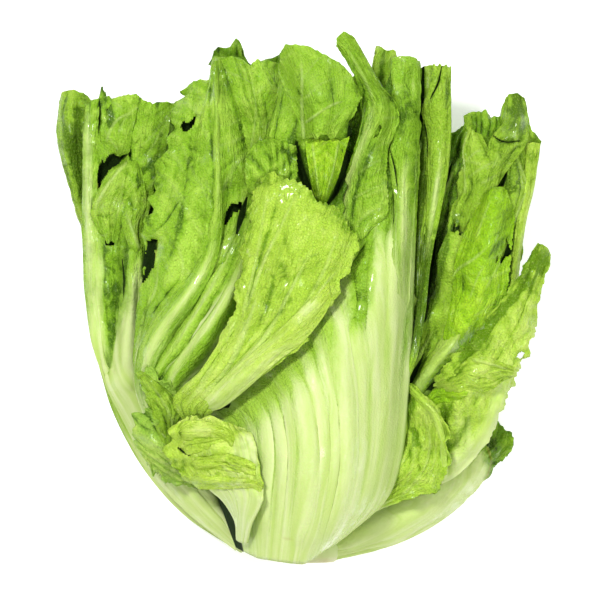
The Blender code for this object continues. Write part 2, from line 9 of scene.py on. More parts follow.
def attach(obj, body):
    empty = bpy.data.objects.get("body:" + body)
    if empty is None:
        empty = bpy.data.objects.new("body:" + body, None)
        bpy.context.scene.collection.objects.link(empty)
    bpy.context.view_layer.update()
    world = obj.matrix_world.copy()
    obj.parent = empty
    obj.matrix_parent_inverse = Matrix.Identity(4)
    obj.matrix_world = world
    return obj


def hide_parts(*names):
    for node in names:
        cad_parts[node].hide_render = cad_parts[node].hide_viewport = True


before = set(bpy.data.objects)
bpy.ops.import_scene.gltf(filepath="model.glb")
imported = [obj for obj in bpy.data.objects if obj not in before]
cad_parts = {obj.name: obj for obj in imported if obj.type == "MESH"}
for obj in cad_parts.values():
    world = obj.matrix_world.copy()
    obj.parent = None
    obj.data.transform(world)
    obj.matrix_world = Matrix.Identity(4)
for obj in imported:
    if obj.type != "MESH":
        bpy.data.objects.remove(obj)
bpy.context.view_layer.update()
bpy.ops.object.select_all(action="DESELECT")


# The stump is the short stem that every leaf grows from, cut straight across at harvest.
# It is pith in a woody ring: a turned block, its cut face a little sunken and browned at the rim.
PLAN_UNIT = 0.297 / 531.0
PLAN_MIDDLE = (301.3, 299.2)
MM = 0.001
STUMP_PLACE = (306.0, 570.5)
STUMP_LEVEL = 50.0
STUMP_SIDES = 96
STUMP_RINGS = ((4.6, 8.0), (4.2, 14.6), (4.0, 16.0), (5.0, 17.2), (7.5, 17.8), (12.0, 18.0), (18.0, 15.0),
               (24.0, 11.0), (38.0, 6.0), (48.0, 3.4), (52.0, 1.2))
SIDE_START = 4.6
SIDE_BLEND = 4.0
SMOOTHED_TURN = math.radians(40)
CREAM_PITH = (0.66, 0.66, 0.38)
BROWNED_PITH = (0.56, 0.50, 0.24)
STUMP_GREEN = (0.50, 0.62, 0.22)


def from_plan(x, y):
    """Metres to the right of and beyond the head's middle, for a place in plan."""
    return (x - PLAN_MIDDLE[0]) * PLAN_UNIT, (PLAN_MIDDLE[1] - y) * PLAN_UNIT


class Tint:
    """A value or a colour inside a material, with plain sums written on it."""

    def __init__(self, paint, socket):
        self.paint, self.socket = paint, socket

    def reckon(self, operation, *others):
        return self.paint.node("ShaderNodeMath", {"operation": operation}, [self, *others])

    def __add__(self, other):
        return self.reckon("ADD", other)

    def __sub__(self, other):
        return self.reckon("SUBTRACT", other)

    def __rsub__(self, other):
        return self.paint.node("ShaderNodeMath", {"operation": "SUBTRACT"}, [other, self])

    def __mul__(self, other):
        return self.reckon("MULTIPLY", other)

    __radd__, __rmul__ = __add__, __mul__

    def span(self, low, high):
        """0 below low, 1 above high, eased between."""
        settings = {"interpolation_type": "SMOOTHSTEP", "clamp": True}
        return self.paint.node("ShaderNodeMapRange", settings, [self, low, high])

    def mix(self, first, second):
        """Goes from the first colour to the second as this value goes from 0 to 1."""
        inputs = {"Factor": self, 6: first, 7: second}
        return self.paint.node("ShaderNodeMix", {"data_type": "RGBA"}, inputs, output=2)


class Paint:
    """A material whose nodes are added by type, with their settings and sockets."""

    def __init__(self, name):
        self.material = bpy.data.materials.new(name)
        self.material.use_nodes = True
        self.nodes = self.material.node_tree.nodes
        self.links = self.material.node_tree.links
        self.shader = self.nodes["Principled BSDF"]

    def node(self, kind, settings=None, inputs=(), output=0):
        made = self.nodes.new(kind)
        for key, value in (settings or {}).items():
            setattr(made, key, value)
        for key, value in inputs.items() if isinstance(inputs, dict) else enumerate(inputs):
            self.put(made.inputs[key], value)
        return Tint(self, made.outputs[output])

    def put(self, socket, value):
        """Links a tint to a socket, or sets the socket's value; a colour gets its fourth part."""
        if isinstance(value, Tint):
            self.links.new(value.socket, socket)
        elif isinstance(value, tuple) and len(value) == 3 and socket.type == "RGBA":
            socket.default_value = (*value, 1.0)
        else:
            socket.default_value = value

    def attribute(self, name):
        return self.node("ShaderNodeAttribute", {"attribute_name": name}, output=2)

    def noise(self, where, scale, **values):
        return self.node("ShaderNodeTexNoise", {}, {"Vector": where, "Scale": scale, **values})

    def finish(self, **inputs):
        """Sets the shader's sockets and gives the finished material."""
        for key, value in inputs.items():
            self.put(self.shader.inputs[key.replace("_", " ").title().replace("Ior", "IOR")], value)
        return self.material


def stump_paint():
    """Cream pith, a browned rim on the cut and a greener side."""
    paint = Paint("cut stump")
    place = paint.node("ShaderNodeTexCoord", output=3)
    grain = paint.noise(place, 260.0, Detail=4.0)
    patch = paint.noise(place, 70.0, Detail=3.0)
    pith = patch.span(0.4, 0.62).mix(CREAM_PITH, BROWNED_PITH)
    color = paint.attribute("side").mix(pith, STUMP_GREEN)
    bump = paint.node("ShaderNodeBump", {}, {"Strength": 0.4, "Distance": 0.0008, "Height": grain})
    return paint.finish(base_color=color, roughness=0.62, normal=bump)


cut_reach, cut_radius = STUMP_RINGS[0]
bpy.ops.mesh.primitive_circle_add(vertices=STUMP_SIDES, radius=cut_radius * MM, fill_type="TRIFAN")
stump = bpy.context.object
stump.name = "stump_cut"
bpy.ops.object.mode_set(mode="EDIT")
bpy.ops.mesh.select_mode(type="VERT")
bpy.ops.mesh.select_all(action="DESELECT")
bpy.ops.object.mode_set(mode="OBJECT")
for vertex in stump.data.vertices:
    vertex.select = vertex.co.length > 0.5 * cut_radius * MM
bpy.ops.object.mode_set(mode="EDIT")
for (reach, radius), (onward, wider) in zip(STUMP_RINGS[:-1], STUMP_RINGS[1:]):
    bpy.ops.mesh.extrude_region_move(TRANSFORM_OT_translate={"value": (0, 0, (onward - reach) * MM)})
    bpy.ops.transform.resize(value=(wider / radius, wider / radius, 1.0), center_override=(0, 0, 0))
bpy.ops.mesh.edge_face_add()
bpy.ops.mesh.select_all(action="SELECT")
bpy.ops.mesh.normals_make_consistent(inside=False)
bpy.ops.object.mode_set(mode="OBJECT")
stump_x, stump_y = from_plan(*STUMP_PLACE)
stump.rotation_euler = (-math.pi / 2, 0.0, 0.0)
stump.location = (stump_x, stump_y + cut_reach * MM, STUMP_LEVEL * MM)
bpy.ops.object.transform_apply(location=True, rotation=True, scale=True)
side = stump.data.attributes.new("side", "FLOAT", "POINT")
for vertex in stump.data.vertices:
    near = (vertex.co.y - stump_y) / MM
    side.data[vertex.index].value = min(1.0, max(0.0, (near - SIDE_START) / SIDE_BLEND))
bpy.ops.object.shade_smooth_by_angle(angle=SMOOTHED_TURN)
stump.data.materials.append(stump_paint())
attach(stump, "root")
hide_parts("stump")


# The back leaf is a broad outer leaf that the head lies on, hidden from above by the rest. Its thick
# ribbed petiole is pale, and its blade spreads behind the tips. Like every leaf it is one sheet of
# its own flesh, grown from the stump.
FRESH_GREEN = ((0.255, 0.49, 0.022), (0.41, 0.66, 0.064), (0.060, 0.155, 0.003))

# What a leaf is drawn with, as seen from above: a plan unit is one pixel of the photograph, and heights,
# depths and thickness are in millimetres. Stations run from root to tip, each with its left edge, its
# right edge and the heights from edge to edge; top and root are the ends' outlines, and net is how many
# places the sheet has across and along. Drawn lines are (reach, height or depth, points), and tints and
# shading (reach, paler, lighter, points): real changes of colour, painted shade and painted highlights.
# Shaded hollows are drawn lines sunk into the sheet and painted near black as painted shade.
PLAIN_LEAF = {
    "ribs": [], "veins": [], "creases": [], "laps": [], "tints": [], "scars": [], "hollows": [], "flow": [],
    "holes": [], "petiole": 0.01, "thick": 1.0, "ruffle": 0.8, "waves": 2.0, "teeth": 0.0, "nicks": 2.0,
    "wrinkle": 0.8, "side_teeth": (1.0, 1.0), "pleats": (11, 0.7), "closer": 1.0, "fluting": 0.3,
    "slant": 0.9, "vein_show": 0.5, "crinkle": 0.8, "frill": 0.8, "fade": (-0.4, -0.2),
}

# Each wandering pattern of a leaf: its size across and along, and the draw that sets it apart.
PATTERNS = {
    "nick shift": (14.0, 1.0, 0.2), "nick depth": (19.0, 1.0, 0.3), "bump": (30.0, 30.0, 0.5),
    "sway": (26.0, 150.0, 0.9), "swell": (30.0, 60.0, 1.1), "flute": (7.0, 150.0, 1.3),
    "stray": (45.0, 45.0, 1.7), "vein": (30.0, 30.0, 1.9), "wrinkle": (7.0, 30.0, 2.1),
    "furrow": (9.0, 45.0, 2.5), "pucker": (6.0, 6.0, 2.7), "frill": (6.0, 6.0, 2.9),
    "patch": (40.0, 40.0, 3.3),
}
DRAW_STEP = 7.31
TRACK_STEPS = 400
LINE_STEPS = 5


def through(points, places):
    """Values of a smooth track through control points, at places counted in points."""
    points = np.asarray(points, dtype=float)
    last = len(points) - 1
    places = np.clip(places, 0.0, last - 1e-9)
    start = places.astype(int)
    share = (places - start).reshape((-1,) + (1,) * (points.ndim - 1))
    padded = np.concatenate([[2 * points[0] - points[1]], points, [2 * points[-1] - points[-2]]])
    before, here, after, beyond = (padded[start + step] for step in range(4))
    bend = 2 * before - 5 * here + 4 * after - beyond
    twist = 3 * (here - after) + beyond - before
    return here + 0.5 * share * (after - before + share * (bend + share * twist))


def ease(low, high, value):
    """0 below low, 1 above high, eased between."""
    share = np.clip((value - low) / (high - low), 0.0, 1.0)
    return share * share * (3 - 2 * share)


def places_along(middles, shares):
    """Places along a track at shares of its length, and its length."""
    fine = np.linspace(0.0, len(middles) - 1, TRACK_STEPS)
    steps = np.linalg.norm(np.diff(through(middles, fine), axis=0), axis=1)
    reach = np.concatenate([[0.0], np.cumsum(steps)])
    return np.interp(shares * reach[-1], reach, fine), reach[-1]


def along(points, shares):
    """Points of a straight-sided line at shares of its length."""
    points = np.asarray(points, dtype=float)
    reach = np.concatenate([[0.0], np.cumsum(np.linalg.norm(np.diff(points, axis=0), axis=1))])
    return np.stack([np.interp(shares * reach[-1], reach, points[:, axis]) for axis in (0, 1)], axis=1)


def roughly(x, y, draw):
    """A smooth wander between about -1 and 1, the same for the same place and draw."""
    spots = zip(np.ravel(x), np.ravel(y))
    return np.array([noise.noise(Vector((a, b, DRAW_STEP * draw))) for a, b in spots]).reshape(np.shape(x))


def beside(line, x, y):
    """Distance in plan from each place to a line, which side it is on, and how far along it is."""
    nearest, side, share = np.full(x.shape, np.inf), np.zeros(x.shape), np.zeros(x.shape)
    line = np.asarray(line, dtype=float)
    steps = np.linalg.norm(np.diff(line, axis=0), axis=1)
    done = np.concatenate([[0.0], np.cumsum(steps)])
    for (ax, ay), (bx, by), start, step in zip(line[:-1], line[1:], done, steps):
        near = np.clip(((x - ax) * (bx - ax) + (y - ay) * (by - ay)) / step ** 2, 0.0, 1.0)
        gap = np.hypot(x - ax - near * (bx - ax), y - ay - near * (by - ay))
        closer = gap < nearest
        turn = (bx - ax) * (y - ay) - (by - ay) * (x - ax)
        nearest = np.where(closer, gap, nearest)
        side = np.where(closer, np.sign(turn), side)
        share = np.where(closer, (start + near * step) / done[-1], share)
    return nearest, side, share


def softened(line):
    """The same line rounded through its points."""
    return through(line, np.linspace(0, len(line) - 1, LINE_STEPS * (len(line) - 1) + 1))


def flowing(guides, spacing, x, y):
    """Which of a family of lines, drawn side by side from root to tip, each place is at."""
    gaps = [gap * side for gap, side, _ in (beside(softened(guide), x, y) for guide in guides)]
    phase = np.minimum(gaps[0], 0.0) / spacing + np.maximum(gaps[-1], 0.0) / spacing
    for here, beyond in zip(gaps[:-1], gaps[1:]):
        between = here / np.where(here == beyond, 1.0, here - beyond)
        phase = phase + np.where(here > 0, np.where(beyond > 0, 1.0, np.clip(between, 0.0, 1.0)), 0.0)
    return phase


FILLING = 80
SETTLING = 30
RAY_START = 1.0
DOWN = Vector((0.0, 0.0, -1.0))


def resting_level(under, x, y):
    """Height of the sheet beneath each place of a net, smoothed and carried on past its edges."""
    tree = BVHTree.FromObject(under, bpy.context.evaluated_depsgraph_get())
    starts = (Vector((*from_plan(a, b), RAY_START)) for a, b in zip(x.ravel(), y.ravel()))
    hits = [tree.ray_cast(start, DOWN)[0] for start in starts]
    known = np.array([hit is not None for hit in hits]).reshape(x.shape)
    found = np.array([hit.z / MM if hit else 0.0 for hit in hits]).reshape(x.shape)
    level = np.where(known, found, found[known].mean())
    for turn in range(FILLING + SETTLING):
        padded = np.pad(level, 1, mode="edge")
        mean = (padded[:-2, 1:-1] + padded[2:, 1:-1] + padded[1:-1, :-2] + padded[1:-1, 2:]) / 4
        level = np.where(known & (turn < FILLING), level, mean)
    return level


TIP_CROWDING = 1.4
TOP_REACH = 0.38
ROOT_REACH = 0.12
FOLD_ROOT_NARROWING = 0.8
FOLD_ROOT_DEPTH = 3.0
FOLD_ROOT_RISE = 0.14
BLADE_START = (0.75, 1.35)
TOOTHED_WIDTH = 60.0
TOOTH_SPACING = 12.0
TOOTH_REACH = 8.0
END_TOOTH_SHARE = 0.7
NICK_SPACING = 6.0
NICK_REACH = 2.5
NICK_WANDER = 1.2
NICK_LEAST = 0.6
OTHER_SIDE = 9
END_DRAWS = (3.3, 5.1, 7.7)
RUFFLE_REACH = 20.0
SWAY_LANES = (3, 40.0, 0.35)
SWAY_SHARE = 1.3
FLOW_SWAY = 0.2
PLEAT_TOP = 0.6
VALLEY_WIDTH = 0.2
SWELL_SPAN = (-0.35, 0.35)
PLEAT_START = (0.02, 0.2)
PLEAT_MARGIN = 5.0
BLADE_FLUTING = 0.7
VEIN_SPACING = 26
VEIN_STRAY = 0.6
VEIN_WIDTH = 1.1
VEIN_RISE = 0.5
VEIN_PATCHES = (-0.2, 0.3)
CRINKLE_SHARES = (0.9, 1.8, 0.5)
FRILL_REACH = 7.0
FURROW_SHADE = 0.18
VALLEY_SHADE = 0.25
VEIN_TAPER = (1.15, 0.5)
LINE_STARTS = (0.12, 0.3)
CREASE_STRAY = 2.0
CREASE_BREAKS = (9.0, 1.2, 0.4, 2.0, 0.3)
CREASE_SHADE = 0.25
LAP = {"end": 0.2, "lip": 0.8, "dip": 0.5, "dip_reach": 4.0, "shade": 0.4, "shade_reach": 3.0}
SLIT_ENDS = (0.35, 0.65)
PETIOLE_EDGE = 0.45
BLADE_THICKNESS = 0.9
FADE_RAGGED = 0.08
MIDDLE_TONE = 0.62
TONE_SHARES = {"patch": 0.3, "wrinkle": 0.25, "pucker": 0.12, "pleat": 0.55}
SHADED_PALE = 0.6
RIB_SHADING = 0.32
TINT_ENDS = (-0.2, 0.3)


class LeafSheet:
    """A leaf's sheet on a fine net: places, heights, thickness and the marks that its paint reads."""

    def __init__(self, leaf, under):
        self.leaf, self.seed = leaf, leaf["seed"]
        self.lay_net(tucked=under is not None and "root" not in leaf)
        self.cut_edges()
        if under:
            self.level = self.level + resting_level(under, self.x, self.y)
        self.shape_as_solid()
        self.pleat()
        self.wrinkle()
        self.draw_lines()
        self.color()
        self.settle(tucked=under is not None and "root" not in leaf)

    def wander(self, kind, across, onward):
        """One of the wandering patterns at places across and along the leaf."""
        broad, long, draw = PATTERNS[kind]
        return roughly(across / broad, onward / long, self.seed + draw)

    def lay_net(self, tucked):
        """Lays the net between the left and right edges, out to the drawn tip and root."""
        leaf = self.leaf
        columns, rows = leaf["net"]
        left, right, heights = (np.array(part, dtype=float) for part in zip(*leaf["stations"]))
        shares = 1 - (1 - np.linspace(0.0, 1.0, rows)) ** TIP_CROWDING
        self.middles = (left + right) / 2
        places, self.length = places_along(self.middles, shares)
        self.u = u = np.tile(np.linspace(0.0, 1.0, columns), (rows, 1))
        self.v = v = np.tile(shares[:, None], (1, columns))
        lefts, rights, levels = (through(track, places) for track in (left, right, heights))
        flat = lefts[:, None, :] + (rights - lefts)[:, None, :] * u[:, :, None]
        marks = u[0] * (heights.shape[1] - 1)
        self.level = np.stack([through(row[:, None], marks)[:, 0] for row in levels])
        drawn = along(leaf["top"], u[0]) - left[-1] - (right[-1] - left[-1]) * u[0][:, None]
        flat = flat + drawn[None, :, :] * ease(1 - TOP_REACH, 1.0, v)[:, :, None]
        if "root" in leaf:
            drawn = along(leaf["root"], u[0]) - left[0] - (right[0] - left[0]) * u[0][:, None]
            flat = flat + drawn[None, :, :] * (1 - ease(0.0, ROOT_REACH, v))[:, :, None]
        if tucked:
            inward = ((lefts + rights) / 2)[:, None, :] - flat
            flat = flat + inward * (FOLD_ROOT_NARROWING * (1 - ease(0.0, ROOT_REACH, v)))[:, :, None]
        self.flat = flat
        start, full = BLADE_START
        self.blade = ease(leaf["petiole"] * start, leaf["petiole"] * full, v)
        self.width = np.linalg.norm(rights - lefts, axis=1)[:, None]
        self.sideways = ((rights - lefts) / self.width)[:, None, :]
        ahead = np.gradient((lefts + rights) / 2, axis=0)
        self.ahead = (ahead / np.linalg.norm(ahead, axis=1)[:, None])[:, None, :]
        self.span = float(self.width.max())
        self.side, self.end = np.minimum(u, 1 - u) * self.width, (1 - v) * self.length
        self.broad = np.minimum(1.0, self.width / TOOTHED_WIDTH)
        self.sided = self.broad * np.abs(2 * u - 1) * self.blade

    def cut_edges(self):
        """Cuts broad teeth as in the solid, then small sharp ones that point to the tip."""
        leaf, onward, across = self.leaf, self.v * self.length, self.u * self.width
        still, right_half = onward * 0, self.u > 0.5
        half = still + right_half
        outward = np.where(right_half, 1.0, -1.0)[:, :, None] * self.sideways
        bite = roughly(onward / TOOTH_SPACING + OTHER_SIDE * right_half, still, self.seed)
        count = onward / NICK_SPACING + NICK_WANDER * self.wander("nick shift", onward, half)
        nick = (0.5 - (count - np.floor(count))) * (NICK_LEAST + self.wander("nick depth", onward, half))
        shift = leaf["teeth"] * bite * np.exp(-self.side / TOOTH_REACH)
        shift = shift + leaf["nicks"] * nick * np.exp(-self.side / NICK_REACH)
        shift = shift * np.where(right_half, leaf["side_teeth"][1], leaf["side_teeth"][0])
        self.flat = self.flat + outward * (shift * self.sided)[:, :, None]
        tooth_draw, shift_draw, depth_draw = END_DRAWS
        bite = roughly(across / TOOTH_SPACING, still + tooth_draw, self.seed)
        count = across / NICK_SPACING + NICK_WANDER * self.wander("nick shift", across, still + shift_draw)
        depth = NICK_LEAST + roughly(across / PATTERNS["nick depth"][0], still + depth_draw, self.seed)
        nick = (np.abs(2 * (count - np.floor(count)) - 1) - 0.5) * depth
        shift = END_TOOTH_SHARE * leaf["teeth"] * bite * np.exp(-self.end / TOOTH_REACH)
        shift = shift + leaf["nicks"] * nick * np.exp(-self.end / NICK_REACH)
        self.flat = self.flat + self.ahead * (shift * self.broad)[:, :, None]
        self.x, self.y = self.flat[:, :, 0], self.flat[:, :, 1]

    def shape_as_solid(self):
        """Ribs, a waved edge and wrinkles, as drawn for the solid."""
        leaf = self.leaf
        for reach, height, line in leaf["ribs"]:
            self.level = self.level + height * np.exp(-(beside(line, self.x, self.y)[0] / reach) ** 2)
        wave = np.sin(2 * math.pi * leaf["waves"] * self.v + self.seed + 2 * (self.u > 0.5))
        self.level = self.level + leaf["ruffle"] * self.sided * wave * np.exp(-self.side / RUFFLE_REACH)
        self.level = self.level + leaf["wrinkle"] * 2.0 * self.blade * self.wander("bump", self.x, self.y)

    def pleat(self):
        """Pleats with round tops and sharp valleys run from root to tip, of uneven breadth."""
        leaf, onward, blade = self.leaf, self.v * self.length, self.blade
        spacing, height = leaf["pleats"]
        lanes, long, share = SWAY_LANES
        sway = self.wander("sway", self.u * self.span, onward)
        sway = sway + share * roughly(self.u * lanes, onward / long, self.seed)
        phase = self.u * self.span / spacing + SWAY_SHARE * sway
        if leaf["flow"]:
            phase = flowing(leaf["flow"], spacing, self.x, self.y) * leaf["closer"] + FLOW_SWAY * sway
        self.lines = phase * spacing
        round_rib = -0.5 * np.cos(2 * math.pi * phase)
        self.ridge = round_rib * (1 - blade) + (np.abs(np.sin(math.pi * phase)) - PLEAT_TOP) * blade
        shown = ease(*SWELL_SPAN, self.wander("swell", self.u * self.span, onward))
        shown = shown * ease(*PLEAT_START, self.v) * ease(0.0, PLEAT_MARGIN, self.side)
        self.level = self.level + height * self.ridge * shown
        self.pleated = shown * min(1.0, height)
        self.valley = np.exp(-((self.ridge + PLEAT_TOP) / VALLEY_WIDTH) ** 2) * self.pleated * blade
        self.flute = self.wander("flute", self.lines, onward)
        self.level = self.level + leaf["fluting"] * 2.0 * self.flute * (1 - BLADE_FLUTING * blade)

    def wrinkle(self):
        """Side veins leave the midrib at a slant, with fine wrinkles beside them and a frilled edge."""
        leaf, x, y, onward = self.leaf, self.x, self.y, self.v * self.length
        center = leaf.get("midrib") or [tuple(spot) for spot in self.middles]
        middle = beside(softened(center), x, y)[0]
        lean = onward - leaf["slant"] * middle
        self.stray = self.wander("stray", x, y)
        phase = lean / VEIN_SPACING + VEIN_STRAY * self.stray + 0.5 * (self.u > 0.5)
        lane = np.abs(phase - np.floor(phase) - 0.5) * VEIN_SPACING / math.hypot(1.0, leaf["slant"])
        vein = np.exp(-(lane / VEIN_WIDTH) ** 2) * self.blade * leaf["vein_show"]
        self.vein = vein * ease(*VEIN_PATCHES, self.wander("vein", x, y))
        self.level = self.level + VEIN_RISE * self.vein
        self.wrinkles, self.puckers = self.wander("wrinkle", lean, middle), self.wander("pucker", x, y)
        furrow = np.abs(self.wander("furrow", self.lines, onward))
        self.rough = leaf["crinkle"] * self.blade
        fine, deep, small = CRINKLE_SHARES
        self.level = self.level + self.rough * (fine * self.wrinkles - deep * furrow + small * self.puckers)
        frill = self.wander("frill", x, y) * np.exp(-np.minimum(self.side, self.end) / FRILL_REACH)
        self.level = self.level + leaf["frill"] * 2.0 * frill * self.blade * self.broad
        # Painted shade in the furrows and pleat valleys.
        self.dark = FURROW_SHADE * furrow * self.rough + VALLEY_SHADE * self.valley

    def draw_lines(self):
        """Veins, creases and laps that are drawn one by one; a crease is broken up along its length."""
        start, end = LINE_STARTS
        wide, taper = VEIN_TAPER
        for reach, height, line in self.leaf["veins"]:
            gap, _, share = beside(softened(line), self.x, self.y)
            raised = np.exp(-(gap / (reach * (wide - taper * share))) ** 2)
            raised = raised * ease(0.0, start, share) * ease(0.0, end, 1 - share)
            self.level = self.level + height * raised
            self.vein = np.maximum(self.vein, raised * min(1.0, height))
        breaks, uneven, narrow, broad, faint = CREASE_BREAKS
        for reach, depth, line in self.leaf["creases"]:
            gap, _, share = beside(softened(line), self.x + CREASE_STRAY * self.stray, self.y)
            broken = 1.0 + uneven * roughly(share * breaks, share * 0, self.seed + reach)
            sunk = np.exp(-(gap / (reach * np.clip(broken, narrow, broad))) ** 2)
            sunk = sunk * ease(0.0, end, share) * ease(0.0, end, 1 - share) * np.clip(broken, faint, 1.0)
            self.level = self.level - depth * sunk
            # Painted shade along the crease.
            self.dark = np.maximum(self.dark, sunk * min(1.0, CREASE_SHADE * depth))
            self.vein = self.vein * (1 - sunk)
        for reach, height, line in self.leaf["laps"]:
            gap, turn, share = beside(softened(line), self.x, self.y)
            shown = ease(0.0, LAP["end"], share) * ease(0.0, LAP["end"], 1 - share)
            over = ease(-LAP["lip"], LAP["lip"], gap * turn)
            dip = LAP["dip"] * (1 - over) * np.exp(-gap / LAP["dip_reach"])
            self.level = self.level + height * shown * (over * np.exp(-gap / reach) - dip)
            # Painted shade on the low side of a lap's edge.
            shade = min(1.0, LAP["shade"] * height) * shown
            self.dark = np.maximum(self.dark, (1 - over) * np.exp(-gap / LAP["shade_reach"]) * shade)
            # Next to a lap every pleat is shaded fully, and past its ends none is.
            self.pleated = shown * min(1.0, self.leaf["pleats"][1])

    def color(self):
        """How pale and how light each place is: painted light and shade from the relief, the fade to the
        petiole, and the tints and shading.
        """
        shares = TONE_SHARES
        # The tone wanders at random, and follows the wrinkles, puckers and pleats as painted light and
        # shade: ridges lighter, valleys darker, less the painted shade of furrows, creases and laps.
        tone = MIDDLE_TONE + shares["patch"] * self.wander("patch", self.x, self.y)
        tone = tone + (shares["wrinkle"] * self.wrinkles + shares["pucker"] * self.puckers) * self.rough
        tone = tone + shares["pleat"] * self.ridge * self.pleated - self.dark
        pale = 1 - ease(*self.leaf["fade"], self.v + FADE_RAGGED * self.flute)
        # The pale petiole colour is dimmed where painted shade lies, and its ribs are painted paler on their
        # crests and greener in their valleys: painted light and shade.
        pale = pale * (1 - SHADED_PALE * self.dark) + RIB_SHADING * self.ridge * (1 - self.blade)
        # The tints and shading hold real changes of colour, together with painted shade in gaps and under
        # neighbours and painted highlights along ribs and folds.
        for reach, paler, lighter, line in self.leaf["tints"]:
            gap, _, share = beside(softened(line), self.x, self.y)
            near = np.exp(-(gap / reach) ** 2) * ease(*TINT_ENDS, share) * ease(*TINT_ENDS, 1 - share)
            pale = pale + paler * near
            tone = tone + lighter * near
        scar = np.zeros(self.x.shape)
        for reach, strength, line in self.leaf["scars"]:
            gap = beside(softened(line), self.x, self.y)[0]
            scar = np.maximum(scar, strength * np.exp(-(gap / reach) ** 2))
        self.marks = {"pale": np.clip(pale, 0.0, 1.0), "vein": self.vein, "tone": tone, "scar": scar}

    def settle(self, tucked):
        """Gives the sheet its thickness and its places in space, and sinks its slits, which are painted near
        black as painted shade.
        """
        thick = PETIOLE_EDGE + (1 - PETIOLE_EDGE) * np.sin(math.pi * self.u)
        thick = BLADE_THICKNESS + (self.leaf["thick"] * thick - BLADE_THICKNESS) * (1 - self.blade)
        if tucked:
            self.level = self.level - FOLD_ROOT_DEPTH * (1 - ease(0.0, FOLD_ROOT_RISE, self.v))
        self.level = np.maximum(self.level, 0.5 * thick)
        hollow = np.zeros(self.x.shape)
        narrow, more = SLIT_ENDS
        # Each shaded hollow is sunk into the sheet and marked, and the paint darkens it near black as
        # painted shade.
        for reach, depth, line in self.leaf["hollows"]:
            gap, _, share = beside(softened(line), self.x + self.stray, self.y)
            sunk = np.exp(-(gap / (reach * (narrow + more * np.sin(math.pi * share)))) ** 4)
            hollow = np.maximum(hollow, sunk)
            self.level = self.level - depth * sunk
        self.marks["hollow"] = hollow
        self.thick = thick * MM
        self.spots = np.stack([*from_plan(self.x, self.y), self.level * MM], axis=2)


def inside(shape, x, y):
    """Whether each place lies inside a closed outline in plan."""
    held = np.zeros(x.shape, dtype=bool)
    for (ax, ay), (bx, by) in zip(shape, shape[1:] + shape[:1]):
        crosses = (ay > y) != (by > y)
        held ^= crosses & (x < ax + (bx - ax) * (y - ay) / (by - ay + 1e-9))
    return held


def tear_holes(mesh, holes, x, y):
    """Takes the places inside the drawn holes out of a leaf's net."""
    torn = np.zeros(x.shape, dtype=bool)
    for hole in holes:
        torn |= inside(hole, x, y)
    bpy.ops.object.mode_set(mode="EDIT")
    bpy.ops.mesh.select_mode(type="VERT")
    bpy.ops.mesh.select_all(action="DESELECT")
    bpy.ops.object.mode_set(mode="OBJECT")
    mesh.vertices.foreach_set("select", torn.ravel())
    bpy.ops.object.mode_set(mode="EDIT")
    bpy.ops.mesh.delete(type="VERT")
    bpy.ops.object.mode_set(mode="OBJECT")


# Where each pattern of the leaf paint starts to show, and where it shows fully.
SPANS = {
    "cell": (0.02, 0.16), "deep": (0.05, 0.5), "lime": (0.5, 1.0), "grain": (0.03, 0.25),
    "rib": (0.25, 0.75), "limed": (0.1, 0.62), "pale": (0.05, 0.95), "scar": (0.1, 0.9),
    "speck": (0.76, 0.80), "slit": (0.15, 0.7), "wet": (0.78, 0.95),
}
STREAKS = (14.0, 0.7, 1.0)
THREADS = (70.0, 7.0, 1.0)
FOLDS = (15.0, 6.0, 1.0)
MOTTLE_SCALE = 55.0
SPECK_SCALE = 700.0
CELL_SCALE = 620.0
GRAIN_SCALE = 900.0
TONE_GAIN = 1.15
SHADE_SHARES = {"mottle": 0.6, "fiber": 0.35, "crumple": 1.3}
CRUMPLE_MEAN = 0.14
GRAIN_SHOW = (0.5, 0.45)
NET_SHOW = 0.10
THREAD_SHOW = 0.2
VEIN_SHOW = 0.42
SPECK_SHOW = 0.6
LIME_ON_PETIOLE = 0.6
PALE_RAGGED = 0.5
GREEN_FLESH = (0.50, 0.65, 0.165)
WHITE_FLESH = (0.665, 0.76, 0.335)
SCAR_BROWN = (0.34, 0.25, 0.06)
# Near black green for slits and gaps between leaves: painted shade.
SLIT_SHADE = (0.010, 0.026, 0.002)
BUMP_SHARES = {"fiber": 1.5, "crumple": 3.4, "net": 0.3, "grain": 0.3, "streak": 0.9}
ROUGHNESS = {"least": 0.14, "mottle": 0.24, "slit": 0.6}
WET = 0.8


